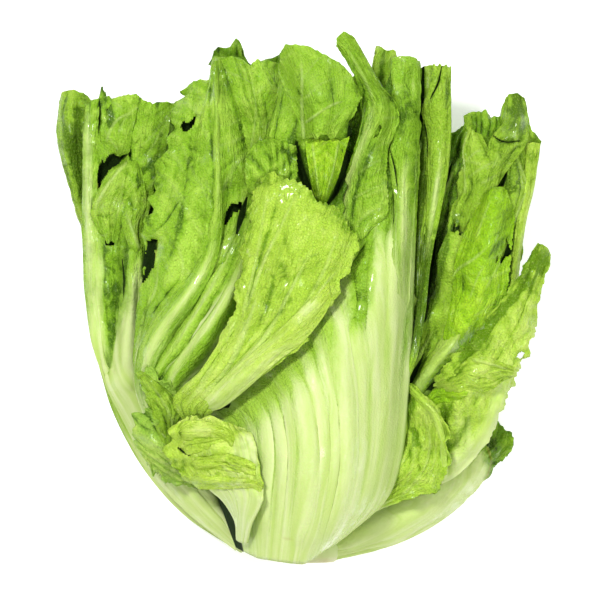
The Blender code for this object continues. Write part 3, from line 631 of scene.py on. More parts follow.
def leaf_paint(name, blade, lime, deep):
    """Waxy leaf: a green blade with pale veins, over a pale streaked petiole, with wet flecks. Its tone
    carries painted shade and painted highlights, and its slits are painted near black as painted shade.
    """
    paint = Paint(name)
    pale, vein, tone, scar, hollow = map(paint.attribute, ("pale", "vein", "tone", "scar", "hollow"))
    place, spread = paint.node("ShaderNodeTexCoord", output=3), paint.node("ShaderNodeUVMap")
    long, thread, bent = (paint.node("ShaderNodeMapping", {}, {"Vector": spread, "Scale": scale})
                          for scale in (STREAKS, THREADS, FOLDS))
    streak = paint.noise(long, 1.0, Detail=2.0, Roughness=0.5)
    fiber = paint.noise(thread, 1.0, Detail=3.0)
    fold = paint.noise(bent, 1.0, Detail=2.0, Roughness=0.55, Distortion=0.5)
    mottle = paint.noise(place, MOTTLE_SCALE, Detail=5.0, Roughness=0.6)
    speck = paint.noise(place, SPECK_SCALE, Detail=1.0)
    grain = paint.noise(place, GRAIN_SCALE, Detail=3.0)
    cells = {"Vector": place, "Scale": CELL_SCALE, "Randomness": 1.0}
    net = 1 - paint.node("ShaderNodeTexVoronoi", {"feature": "DISTANCE_TO_EDGE"}, cells).span(*SPANS["cell"])
    crumple = (fold - 0.5).reckon("ABSOLUTE")
    leafy = 1 - pale
    shares = SHADE_SHARES
    # The tone picks between the deep, the blade and the lime greens; it carries the sheet's painted light
    # and shade, random mottle and fibres, and the crumple painted lighter on its crests as painted light.
    shade = tone * TONE_GAIN + (mottle - 0.5) * shares["mottle"] + (fiber - 0.5) * shares["fiber"]
    shade = shade + (crumple - CRUMPLE_MEAN) * leafy * shares["crumple"]
    color = shade.span(*SPANS["deep"]).mix(deep, blade)
    color = shade.span(*SPANS["lime"]).mix(color, lime)
    color = (net * NET_SHOW * leafy).mix(color, GREEN_FLESH)
    light_grain, dark_grain = GRAIN_SHOW
    color = ((grain - 0.5).span(*SPANS["grain"]) * leafy * light_grain).mix(color, lime)
    color = ((0.5 - grain).span(*SPANS["grain"]) * leafy * dark_grain).mix(color, deep)
    petiole = (streak + (fiber - 0.5) * THREAD_SHOW).span(*SPANS["rib"]).mix(GREEN_FLESH, WHITE_FLESH)
    petiole = ((1 - tone.span(*SPANS["limed"])) * LIME_ON_PETIOLE).mix(petiole, lime)
    ragged = (streak - 0.5) * PALE_RAGGED + (fiber - 0.5) * PALE_RAGGED
    color = (pale + ragged).span(*SPANS["pale"]).mix(color, petiole)
    color = (vein * VEIN_SHOW).mix(color, petiole)
    color = (scar * (0.5 + mottle)).span(*SPANS["scar"]).mix(color, SCAR_BROWN)
    color = (speck.span(*SPANS["speck"]) * leafy * SPECK_SHOW).mix(color, deep)
    # Slits and gaps between leaves are painted near black: painted shade.
    color = (hollow * (0.8 + mottle * 0.4)).span(*SPANS["slit"]).mix(color, SLIT_SHADE)
    raised = BUMP_SHARES
    height = leafy * (fiber * raised["fiber"] + crumple * raised["crumple"] - net * raised["net"])
    height = height + grain * raised["grain"] + streak * pale * raised["streak"]
    bump = paint.node("ShaderNodeBump", {}, {"Strength": 0.9, "Distance": 0.0011, "Height": height})
    rough = ROUGHNESS["least"] + mottle * ROUGHNESS["mottle"] + hollow * ROUGHNESS["slit"]
    wet = (mottle + fold * 0.5).span(*SPANS["wet"]) * WET * (1 - hollow)
    return paint.finish(base_color=color, roughness=rough, normal=bump, subsurface_weight=0.10,
                        subsurface_radius=(0.5, 1.0, 0.25), subsurface_scale=0.002, specular_ior_level=0.1,
                        coat_weight=wet, coat_roughness=0.16)


SPREAD_UNIT = 100.0


def lay_leaf(name, slot, greens, fold="sheet", under=None, **drawing):
    """A leaf is a flat net moved to its sheet, torn at its holes, and given its thickness by Solidify.

    A fold of it is made the same way, its heights counted from the sheet that it lies on. Where it
    has no greens of its own it takes that sheet's paint.
    """
    leaf = {**PLAIN_LEAF, **drawing}
    columns, rows = leaf["net"]
    sheet = LeafSheet(leaf, under)
    bpy.ops.mesh.primitive_grid_add(x_subdivisions=columns - 1, y_subdivisions=rows - 1, size=1.0)
    piece = bpy.context.object
    piece.name = f"{name}_{fold}"
    mesh = piece.data
    mesh.vertices.foreach_set("co", sheet.spots.astype(np.float32).ravel())
    for mark, values in sheet.marks.items():
        layer = mesh.attributes.new(mark, "FLOAT", "POINT")
        layer.data.foreach_set("value", values.astype(np.float32).ravel())
    corners = np.empty(len(mesh.loops), dtype=np.int32)
    mesh.loops.foreach_get("vertex_index", corners)
    spread = np.stack([sheet.lines.ravel()[corners], (sheet.v * sheet.length).ravel()[corners]], axis=1)
    mesh.uv_layers.active.data.foreach_set("uv", (spread / SPREAD_UNIT).astype(np.float32).ravel())
    group = piece.vertex_groups.new(name="thickness")
    most = float(sheet.thick.max())
    shares = (sheet.thick.ravel() / most).round(2)
    for share in np.unique(shares):
        group.add(np.nonzero(shares == share)[0].tolist(), float(share), "REPLACE")
    if leaf["holes"]:
        tear_holes(mesh, leaf["holes"], sheet.x, sheet.y)
    wall = piece.modifiers.new("thickness", "SOLIDIFY")
    wall.thickness = most
    wall.offset = 0.0
    wall.vertex_group = group.name
    bpy.ops.object.modifier_apply(modifier=wall.name)
    bpy.ops.object.shade_smooth()
    title = name if fold == "sheet" else f"{name} {fold}"
    mesh.materials.append(leaf_paint(title.replace("_", " "), *greens) if greens else under.active_material)
    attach(piece, "root")
    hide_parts(name)
    bpy.ops.object.select_all(action="DESELECT")
    return piece


lay_leaf(
    "leaf_back", "leaf_back", FRESH_GREEN,
    stations=[((268, 557), (306, 557), (25, 23, 22, 23, 25)), ((240, 512), (336, 512), (20, 11, 7, 11, 18)),
      ((204, 456), (366, 456), (34, 7, 3, 7, 24)), ((180, 380), (386, 380), (37, 6, 2.6, 6, 26)),
      ((166, 300), (400, 300), (37, 7, 3, 7, 28)), ((158, 220), (420, 220), (36, 14, 9, 14, 32)),
      ((168, 150), (424, 150), (40, 26, 23, 26, 40)), ((196, 100), (396, 96), (42, 35, 33, 35, 42))],
    top=[(196, 100), (226, 84), (262, 74), (300, 70), (338, 74), (370, 82), (396, 96)], thick=7,
    petiole=0.62, ruffle=4, waves=5, teeth=13, wrinkle=3, seed=1,
    ribs=[(8, 2, [(250, 470), (226, 300), (226, 130)]), (8, 2, [(330, 470), (352, 300), (362, 130)])],
    net=(56, 76), fade=(0.35, 0.85), midrib=[(286, 557), (286, 300), (286, 70)], pleats=(16, 1.2),
)

# The back right leaf is a narrow outer leaf under the right side of the head, folded along its
# length: pale crisp flesh below, thin green blade above, grown from the stump.
lay_leaf(
    "leaf_back_right", "leaf_back", FRESH_GREEN,
    stations=[((324, 546), (334, 557), (18, 18, 18)), ((356, 498), (384, 520), (11, 9, 8)),
      ((400, 450), (440, 472), (10, 6, 5)), ((426, 396), (478, 402), (8, 6, 14)),
      ((440, 320), (496, 320), (9, 12, 26)), ((442, 240), (506, 240), (20, 20, 32)),
      ((444, 170), (508, 180), (28, 28, 36)), ((452, 132), (500, 140), (32, 32, 38))],
    top=[(452, 132), (464, 124), (480, 122), (492, 128), (500, 140)], thick=5, petiole=0.5, ruffle=2.5,
    waves=5, teeth=6.5, wrinkle=2.5, seed=2,
    ribs=[(8, 2, [(350, 530), (428, 455), (456, 380), (474, 240), (476, 130)])], net=(30, 70),
    fade=(0.2, 0.7), midrib=[(330, 552), (428, 455), (456, 380), (474, 240), (476, 130)], pleats=(13, 1),
)

# The far left leaf is the outermost on that side, seen edge on. Its petiole is pale and crisp, and
# its thin blade is folded into a dark channel beside a bright lobe at the tip.
SOFT_GREEN = ((0.3, 0.52, 0.03), (0.44, 0.66, 0.07), (0.095, 0.205, 0.006))
lay_leaf(
    "leaf_far_left", "leaf_green", SOFT_GREEN,
    stations=[((240, 557), (254, 547), (19, 21, 22)), ((184, 521), (206, 498), (5, 9, 15)),
      ((142, 474), (172, 456), (3, 7, 14)), ((110, 414), (142, 402), (6, 11, 17)),
      ((93, 352), (122, 350), (12, 18, 23)), ((84, 290), (108, 290), (20, 26, 28)),
      ((80, 236), (102, 235), (26, 32, 32)), ((66, 186), (100, 185), (33, 40, 34)),
      ((55, 140), (96, 140), (38, 48, 37)), ((57, 100), (92, 100), (36, 46, 38))],
    top=[(57, 98), (60, 91), (72, 89), (82, 93), (92, 100)], thick=5.5, petiole=0.55, ruffle=2, waves=6,
    teeth=9, wrinkle=1.5, seed=3,
    ribs=[(6, 3, [(84, 232), (68, 180), (62, 140), (64, 100)]), (4, -4, [(84, 200), (76, 150), (76, 100)])],
    net=(42, 150), fade=(0.12, 0.5), midrib=[(245, 552), (150, 460), (104, 350), (92, 235), (90, 100)],
    pleats=(10, 0.8), side_teeth=(0.4, 1), veins=[(1.6, 0.7, [(57, 150), (64, 180), (80, 228)])],
    creases=[(8, 2.6, [(76, 96), (76, 140), (80, 195)]), (1.6, 1.2, [(57, 106), (68, 108), (84, 107)])],
    tints=[(9, 0, -0.35, [(75, 100), (75, 150), (80, 200)]),
      (7, 0, -0.1, [(59, 96), (60, 120), (64, 160), (72, 210)])],
)

# The left outer leaf has a broad pale petiole and a flat torn blade, chewed through in places. A dark
# channel runs up beside its midrib, and torn flaps lie on it.
sheet = lay_leaf(
    "leaf_left_outer", "leaf_pale", FRESH_GREEN,
    stations=[((236, 553), (246, 545), (28, 29, 30)), ((190, 518), (213, 491), (23, 30, 28)),
      ((152, 476), (186, 446), (23, 33, 30)), ((120, 418), (158, 398), (28, 38, 38)),
      ((97, 368), (142, 362), (34, 43, 46)), ((84, 300), (142, 300), (40, 48, 52)),
      ((81, 240), (142, 245), (44, 52, 54)), ((81, 180), (154, 190), (47, 56, 57)),
      ((82, 135), (170, 140), (50, 58, 57)), ((84, 106), (179, 104), (51, 58, 57))],
    top=[(84, 105), (93, 99), (98, 98), (101, 84), (105, 95), (114, 99), (124, 95), (136, 93), (142, 100),
      (152, 103), (166, 101), (179, 103)], thick=7, petiole=0.5, ruffle=2, waves=5, teeth=3, wrinkle=3.5,
    seed=4,
    ribs=[(6, 3, [(96, 390), (88, 300), (86, 200), (87, 110)]),
      (7, -4, [(114, 370), (115, 310), (116, 245)]), (7, 3.5,
      [(128, 380), (130, 300), (128, 240), (133, 170), (135, 110)]),
      (5, -3, [(98, 180), (112, 160), (126, 154)])], net=(76, 190), fade=(0.42, 0.74), pleats=(11, 0.7),
    closer=1.6, crinkle=1.1, side_teeth=(0.1, 1),
    flow=[[(234, 556), (188, 522), (149, 478), (116, 420), (94, 370), (82, 300), (79, 240), (79, 180),
      (80, 98)], [(239, 551), (198, 511), (158, 466), (128, 412), (104, 366), (96, 300), (94, 240),
      (92, 180), (94, 98)], [(243, 548), (206, 501), (170, 453), (143, 400), (127, 362), (128, 300),
      (130, 240), (132, 170), (134, 90)], [(247, 544), (214, 490), (188, 446), (160, 398), (144, 362),
      (144, 300), (146, 245), (156, 190), (172, 140), (184, 98)]],
    midrib=[(244, 547), (160, 455), (126, 380), (118, 300), (128, 240), (133, 170), (135, 98)],
    veins=[(3, 0.7, [(102, 388), (93, 350), (89, 300), (87, 240), (86, 180), (85, 104)]),
      (1.1, 0.7, [(88, 210), (90, 190), (90, 168)]), (1, 0.5, [(141, 165), (158, 135), (174, 112)]),
      (3.4, 1.6, [(128, 372), (126, 345), (130, 312), (135, 275), (139, 250)])],
    creases=[(2.4, 3, [(96, 96), (100, 112), (97, 136)]),
      (8, 1.6, [(118, 246), (115, 270), (114, 310), (111, 356)]),
      (1.4, 1.6, [(124, 250), (126, 275), (124, 305)]), (2, 1.6,
      [(134, 150), (142, 190), (137, 230), (140, 262)]), (1.4, 1.2, [(104, 300), (106, 325), (106, 345)]),
      (3, 2, [(108, 362), (107, 370), (106, 378)])],
    tints=[(7, 0.55, 0.1, [(86, 106), (87, 200), (90, 270)]),
      (7, 0.35, 0.3, [(95, 232), (97, 300), (99, 345)]),
      (5, 0.3, 0.3, [(139, 258), (140, 300), (136, 345)]),
      (6, -0.5, -0.5, [(111, 326), (109, 350), (108, 370)]),
      (12, 0, -0.4, [(168, 104), (156, 150), (148, 190)]),
      (9, -0.35, -0.1, [(116, 250), (114, 300), (112, 340)]),
      (7, 0.5, 0.25, [(127, 320), (127, 345), (128, 370)]), (5, -0.5, -0.1, [(104, 280), (105, 340)]),
      (30, 0.2, 0.2, [(130, 420), (175, 480), (225, 535)])],
    scars=[(1.5, 0.6, [(97, 187), (99, 172), (112, 158)])],
    hollows=[(1.6, 1, [(99, 98), (99, 116), (97, 134)]), (1.3, 1, [(106, 108), (108, 118), (105, 128)]),
      (2, 1, [(127, 190), (128, 197), (126, 204)]), (1.6, 1, [(104, 356), (106, 366), (107, 376)]),
      (1.2, 0.6, [(122, 258), (124, 280), (123, 300)]), (6, 2, [(152, 236), (151, 262), (147, 288)])],
    holes=[[(97, 187), (96, 176), (98, 166), (101, 160), (103, 166), (107, 156), (112, 154), (119, 156),
      (127, 152), (123, 157), (116, 164), (108, 169), (102, 176), (99, 185)],
      [(98, 230), (103, 228), (104, 230), (100, 232)], [(103, 243), (109, 240), (115, 239), (112, 244),
      (106, 245)], [(121, 142), (124, 141), (129, 143), (126, 144)],
      [(128, 154), (130, 152), (131, 156), (129, 157)]],
)
# Very dark greens, as painted shade, for a folded-back blade laid beneath a torn blade: it shows through the
# holes as shade, and its hollows are painted near black.
SHADED_GREEN = ((0.05, 0.12, 0.003), (0.12, 0.26, 0.008), (0.012, 0.04, 0.001))
lay_leaf(
    "leaf_left_outer", "leaf_pale", SHADED_GREEN, "under", sheet,
    hollows=[(9, 1, [(96, 192), (104, 168), (122, 152)]), (4, 1, [(98, 246), (116, 240)])], net=(20, 40),
    seed=4.2, top=[(96, 128), (130, 122), (160, 126)], pleats=(9, 1.2),
    stations=[((110, 300), (150, 300), (-9, -8, -8)), ((98, 240), (160, 240), (-9, -8, -8)),
      ((95, 180), (160, 180), (-9, -8, -8)), ((96, 128), (160, 126), (-8, -7, -7))],
)
lay_leaf(
    "leaf_left_outer", "leaf_pale", None, "flap", sheet,
    net=(44, 84), seed=4.4, pleats=(16, 0.4), top=[(115, 244), (110, 240), (107, 244), (103, 236)], nicks=3,
    stations=[((131, 152), (122, 160), (0, 1.5, 0)), ((136, 168), (108, 172), (1.5, 4, 0.5)),
      ((138, 186), (96, 194), (2, 4.5, 1)), ((126, 204), (90, 212), (2, 4.5, 1)),
      ((120, 226), (96, 228), (2, 4.5, 2)), ((115, 244), (103, 236), (2.5, 4, 2.5))],
    veins=[(1.2, 0.9, [(128, 160), (108, 184), (92, 210)]),
      (0.9, 0.6, [(124, 175), (120, 200), (112, 228)])],
    creases=[(1.6, 1.6, [(96, 212), (104, 216), (116, 212)]),
      (2, 1.6, [(128, 164), (124, 184), (121, 204)])],
    tints=[(16, 0, 0.2, [(110, 180), (102, 225)]), (3, 0, -0.6,
      [(131, 152), (136, 168), (138, 186), (126, 204), (118, 228)]),
      (3, 0.3, 0.3, [(128, 160), (108, 184), (92, 212)])],
)
lay_leaf(
    "leaf_left_outer", "leaf_pale", None, "wedge", sheet,
    net=(26, 56), seed=4.5, pleats=(12, 0.4), top=[(128, 163), (134, 160), (140, 166)],
    side_teeth=(0.3, 0.5),
    stations=[((132, 256), (140, 258), (0, 1, 0)), ((121, 222), (137, 226), (1, 2.5, 1)),
      ((124, 200), (146, 204), (1, 3, 1)), ((126, 180), (144, 184), (1, 3, 1)),
      ((128, 163), (140, 166), (0, 1, 0))], veins=[(1.2, 0.9, [(139, 250), (130, 225), (124, 206)])],
    creases=[(1.6, 1.8, [(136, 172), (138, 184), (137, 194)]),
      (1.6, 1.6, [(124, 192), (130, 202), (134, 214)])],
)
lay_leaf(
    "leaf_left_outer", "leaf_pale", None, "corner", sheet,
    net=(40, 60), seed=4.6, pleats=(12, 0.5), top=[(112, 99), (118, 96), (128, 94), (139, 95)],
    stations=[((106, 152), (128, 158), (-0.5, 1, 1)), ((104, 130), (132, 134), (0, 2, 2.5)),
      ((106, 114), (136, 114), (0, 2, 3)), ((112, 99), (139, 95), (0, 2, 3))],
    veins=[(1.2, 0.9, [(106, 142), (111, 128), (120, 117), (138, 112)])],
    tints=[(20, 0, 0.15, [(116, 110), (112, 148)]), (5, 0, -0.7, [(107, 98), (110, 116), (108, 130)])],
)

# The left second leaf is the long folded one: a pale petiole that fans into glossy pleats, and a
# crinkled blade with a strong midrib and two dark seams at the tip.
sheet = lay_leaf(
    "leaf_left_second", "leaf_green", FRESH_GREEN,
    stations=[((236, 540), (251, 528), (39, 39, 40, 40, 40)),
      ((206, 502), (234, 486), (37, 39, 39, 39, 38)), ((166, 458), (208, 446), (41, 45, 46, 44, 41)),
      ((140, 408), (206, 424), (48, 57, 58, 54, 45)), ((134, 360), (224, 376), (60, 69, 70, 64, 50)),
      ((138, 300), (240, 322), (62, 75, 81, 81, 74)), ((143, 240), (251, 262), (65, 78, 84, 84, 79)),
      ((154, 186), (262, 205), (66, 79, 84, 83, 80)), ((168, 140), (276, 160), (67, 79, 85, 82, 79)),
      ((180, 104), (286, 112), (68, 78, 84, 81, 78)), ((186, 90), (284, 76), (68, 77, 82, 79, 76))],
    top=[(183, 94), (194, 84), (210, 81), (213, 62), (222, 58), (238, 62), (250, 65), (263, 60), (274, 64),
      (284, 72)], thick=5.5, petiole=0.5, ruffle=3, waves=5, teeth=9, wrinkle=3.5, seed=5,
    ribs=[(8, 4, [(140, 385), (160, 325), (190, 290), (206, 250), (214, 180), (216, 70)]),
      (7, 3.5, [(170, 400), (206, 336), (232, 290), (246, 230)]),
      (5, -3.5, [(219, 70), (228, 100), (243, 140)]), (6, -3.5,
      [(150, 382), (176, 330), (200, 300), (222, 250), (230, 190)])],
    net=(92, 190), fade=(0.16, 0.5), pleats=(12, 0.9), closer=2, crinkle=1.2,
    flow=[[(203, 508), (160, 455), (134, 405), (130, 360), (136, 300), (141, 240), (153, 186), (167, 140),
      (178, 98)], [(210, 500), (168, 450), (141, 400), (137, 375), (143, 345), (156, 325), (172, 300),
      (196, 270), (208, 245), (213, 225), (215, 180), (214, 140), (213, 60)],
      [(218, 494), (176, 448), (148, 402), (149, 376), (160, 358), (176, 340), (190, 318), (206, 292),
      (220, 268), (232, 244), (238, 220), (240, 180), (230, 110), (222, 60)],
      [(226, 490), (190, 446), (162, 400), (168, 378), (188, 352), (206, 329), (226, 300), (240, 268),
      (250, 235), (258, 190), (262, 140), (258, 60)], [(234, 485), (210, 444), (206, 422), (225, 376),
      (241, 322), (252, 262), (264, 205), (278, 160), (288, 112), (286, 70)]],
    midrib=[(243, 534), (204, 485), (170, 440), (140, 378), (160, 322), (188, 290), (205, 250), (216, 180),
      (215, 60)],
    veins=[(1.2, 0.9, [(134, 370), (139, 345), (146, 312), (157, 288), (160, 252)]),
      (6, 2.4, [(168, 380), (194, 352), (216, 318), (234, 284)]),
      (1, 0.7, [(183, 280), (183, 262), (177, 240)]), (0.9, 0.5, [(214, 150), (200, 120), (192, 92)]),
      (0.9, 0.5, [(212, 205), (190, 165), (180, 135)]), (0.9, 0.5, [(206, 240), (182, 205), (165, 185)]),
      (0.9, 0.5, [(230, 190), (234, 160), (240, 148)]), (1, 0.6, [(222, 262), (232, 240), (238, 224)]),
      (1.4, 0.9, [(142, 355), (152, 330), (160, 306)])],
    creases=[(2, 2, [(212, 62), (211, 100), (212, 150), (213, 182)]),
      (2.4, 3.2, [(150, 378), (160, 362), (178, 340), (198, 308), (216, 282), (232, 256), (242, 226),
      (246, 200)]), (2, 2.4, [(170, 393), (188, 377), (205, 361), (222, 342)]),
      (2.2, 2, [(150, 320), (166, 298), (184, 276)]), (3, 2.4, [(252, 180), (250, 205), (240, 232)]),
      (1.6, 1.2, [(178, 150), (172, 190), (160, 228)]), (1.5, 1, [(150, 290), (146, 315), (140, 336)])],
    laps=[(12, 2, [(150, 236), (166, 224), (182, 200)])],
    tints=[(12, 0, 0.1, [(254, 150), (250, 190), (240, 230)]),
      (9, 0.9, 0.6, [(176, 376), (198, 350), (218, 318), (236, 286)]),
      (11, -0.9, -0.7, [(150, 374), (164, 384), (178, 396)]),
      (14, -0.6, -0.25, [(168, 372), (190, 380), (206, 386)]), (7, 0, -0.25, [(150, 318), (168, 290)]),
      (3, 0, -0.5, [(226, 72), (236, 110), (245, 150)]),
      (9, 0.5, 0.25, [(228, 296), (206, 327), (182, 356)]),
      (5, 0, -0.15, [(197, 130), (190, 180), (176, 235)]),
      (6, 0, 0.25, [(178, 130), (170, 190), (156, 250)]),
      (5, 0.1, 0.25, [(196, 190), (186, 240), (166, 290)])],
    scars=[(1.2, 0.5, [(158, 242), (156, 256), (152, 268)])],
    hollows=[(6, 2, [(206, 476), (221, 503), (240, 543)]), (5, 2, [(146, 386), (152, 374), (158, 366)]),
      (2, 1.5, [(172, 392), (190, 375), (205, 360), (220, 345)]),
      (1.6, 1, [(160, 364), (176, 345), (194, 316), (212, 288)]),
      (3.5, 1.5, [(236, 236), (242, 215), (247, 198)]), (3, 1.5, [(160, 396), (166, 388), (170, 378)])],
    holes=[[(181, 126), (183, 122), (188, 126), (195, 118), (194, 124), (188, 131), (184, 130)],
      [(148, 241), (158, 241), (158, 247), (153, 251), (156, 257), (154, 266), (148, 276), (143, 283),
      (145, 268), (146, 255)], [(224, 226), (226, 214), (232, 206), (241, 204), (242, 209), (234, 211),
      (229, 219)]],
)
# A folded-back blade beneath the sheet, painted very dark with near black hollows, as painted shade seen
# through the holes.
lay_leaf(
    "leaf_left_second", "leaf_green", SHADED_GREEN, "under", sheet,
    hollows=[(8, 1, [(152, 232), (150, 262), (147, 292)]), (7, 1, [(178, 134), (190, 124), (198, 112)]),
      (9, 1, [(222, 232), (232, 214), (246, 202)])], net=(30, 44), seed=5.2,
    top=[(172, 110), (210, 106), (236, 110)], pleats=(9, 1.2),
    stations=[((142, 300), (210, 310), (-9, -8, -8)), ((142, 250), (246, 262), (-9, -8, -8)),
      ((158, 190), (252, 200), (-9, -8, -8)), ((172, 110), (236, 110), (-8, -7, -7))],
)
lay_leaf(
    "leaf_left_second", "leaf_green", None, "midrib", sheet,
    net=(18, 170), seed=5.4, crinkle=0.3, nicks=0, frill=0, pleats=(7, 0.6), fade=(-0.8, 0.7),
    top=[(214, 62), (218, 62)], vein_show=0,
    stations=[((140, 404), (146, 408), (-1, -1, -1)), ((136, 376), (150, 382), (-1, 2, 0)),
      ((141, 346), (160, 354), (-0.5, 3.5, 0.5)), ((156, 318), (175, 328), (-0.5, 4, 1)),
      ((178, 291), (196, 302), (-0.5, 4, 1.5)), ((197, 265), (212, 274), (-0.5, 3.5, 1.5)),
      ((208, 238), (221, 243), (-0.5, 3, 1.5)), ((213, 200), (222, 203), (-0.5, 2, 1)),
      ((214, 150), (220, 150), (-0.5, 1.5, 0)), ((214, 100), (219, 100), (-0.5, 1.5, 0)),
      ((214, 62), (218, 62), (-0.5, 1, 0))],
    tints=[(3.5, 0.6, 0.5, [(216, 244), (202, 274), (184, 301), (166, 325), (150, 354), (142, 384)]),
      (2.4, 0.2, 0.3, [(218, 62), (218, 180), (212, 246)])],
)
lay_leaf(
    "leaf_left_second", "leaf_green", None, "fold_a", sheet,
    net=(18, 110), seed=5.7, crinkle=0.4, nicks=0, frill=0.1, pleats=(7, 0.4), top=[(237, 234), (244, 240)],
    vein_show=0.2,
    stations=[((149, 392), (156, 395), (-1, -1, -1)), ((153, 368), (163, 374), (0, 1.5, 0)),
      ((170, 343), (182, 352), (0, 3, 0)), ((188, 315), (200, 324), (0, 3, 0)),
      ((205, 288), (217, 296), (0, 3, 0)), ((222, 261), (232, 269), (0, 2.5, 0)),
      ((237, 234), (244, 240), (-1, 1, -1))],
    tints=[(2.8, 0.5, 0.5, [(234, 246), (212, 287), (194, 317), (178, 341), (158, 370), (152, 388)])],
)
lay_leaf(
    "leaf_left_second", "leaf_green", None, "pleat_a", sheet,
    net=(26, 130), seed=5.9, crinkle=0.3, nicks=0, frill=0.1, pleats=(8, 0.5), top=[(242, 252), (248, 258)],
    vein_show=0,
    stations=[((162, 404), (178, 412), (-1, -1, -1)), ((163, 380), (184, 393), (-1, 2, 0)),
      ((180, 355), (203, 373), (0, 4, 0)), ((198, 331), (223, 350), (0, 4.5, 0)),
      ((216, 306), (234, 320), (0, 4, 0)), ((230, 281), (242, 290), (0, 3.5, 0)),
      ((242, 252), (248, 258), (-1, 1, -1))], creases=[(1.5, 1.4, [(188, 378), (208, 356), (224, 336)])],
    tints=[(4.5, 0.8, 0.5, [(244, 258), (232, 288), (212, 320), (192, 345), (174, 372), (168, 398)]),
      (3.5, 0.7, 0.4, [(176, 392), (192, 374), (208, 356), (228, 322)]),
      (5, -0.3, -0.4, [(164, 396), (170, 388)])],
)
lay_leaf(
    "leaf_left_second", "leaf_green", None, "tip", sheet,
    net=(50, 96), seed=5.6, pleats=(13, 0.6),
    top=[(221, 60), (232, 57), (243, 62), (250, 67), (258, 60), (267, 70)],
    stations=[((250, 160), (276, 148), (-1, 1, -1)), ((245, 140), (284, 126), (1.5, 3, 1.5)),
      ((240, 115), (284, 104), (2.5, 3.5, 2.5)), ((231, 88), (276, 86), (2.5, 3.5, 2.5)),
      ((221, 62), (267, 70), (2, 3, 2))],
    veins=[(0.9, 0.6, [(250, 158), (256, 110), (250, 70)]),
      (1.2, 0.8, [(270, 142), (278, 128), (282, 116)])],
)

# The back top leaf stands behind the left second leaf and shows only as a curled tip. It is a thin
# green blade on a pale stalk, held between its neighbours.
DEEP_GREEN = ((0.14, 0.31, 0.01), (0.26, 0.47, 0.025), (0.038, 0.094, 0.003))
lay_leaf(
    "leaf_back_top", "leaf_green", DEEP_GREEN,
    stations=[((240, 502), (256, 506), (48, 49, 49)), ((240, 450), (262, 450), (36, 40, 38)),
      ((244, 390), (284, 390), (30, 36, 34)), ((246, 320), (292, 320), (38, 43, 41)),
      ((240, 250), (300, 250), (50, 55, 53)), ((224, 180), (310, 180), (57, 62, 59)),
      ((216, 120), (322, 120), (58, 63, 59)), ((214, 70), (322, 66), (60, 64, 60))],
    top=[(214, 62), (216, 48), (222, 43), (230, 45), (237, 37), (242, 46), (244, 57), (252, 63), (268, 60),
      (284, 56), (300, 60), (322, 66)], thick=5, petiole=0.5, ruffle=3, waves=5, teeth=9, wrinkle=2.5,
    seed=6, ribs=[(8, 2.5, [(248, 500), (262, 320), (268, 180), (268, 70)])], net=(34, 90), fade=(0.2, 0.6),
    nicks=5, crinkle=1.6, frill=2.2, midrib=[(248, 502), (262, 320), (268, 180), (268, 60)],
    pleats=(12, 0.8),
)

# The inner leaf stands behind the centre leaf and shows only at its tip. It is a thin young blade on
# a pale stalk, held between its neighbours.
lay_leaf(
    "leaf_inner", "leaf_green", SOFT_GREEN,
    stations=[((298, 498), (318, 498), (67, 69, 66)), ((302, 440), (340, 440), (66, 71, 68)),
      ((314, 370), (374, 370), (64, 69, 66)), ((334, 300), (392, 300), (58, 64, 57)),
      ((342, 230), (398, 230), (58, 62, 56)), ((340, 160), (400, 160), (59, 63, 57)),
      ((338, 110), (400, 110), (60, 64, 57)), ((342, 84), (400, 66), (60, 64, 58))],
    top=[(342, 84), (352, 76), (362, 72), (372, 69), (376, 47), (386, 50), (396, 48), (402, 62)], thick=5,
    petiole=0.5, ruffle=2, waves=5, teeth=6.5, wrinkle=2, seed=7,
    ribs=[(8, 2, [(308, 498), (322, 420), (352, 330), (372, 230), (376, 90)])], net=(32, 90),
    fade=(0.2, 0.6), nicks=4, crinkle=1.3, frill=1.4,
    midrib=[(308, 498), (322, 420), (352, 330), (372, 230), (376, 60)], pleats=(12, 0.8),
    tints=[(12, 0, -0.4, [(360, 90), (350, 150), (356, 220)]), (4, 0.4, 0.3, [(394, 50), (394, 80)])],
)

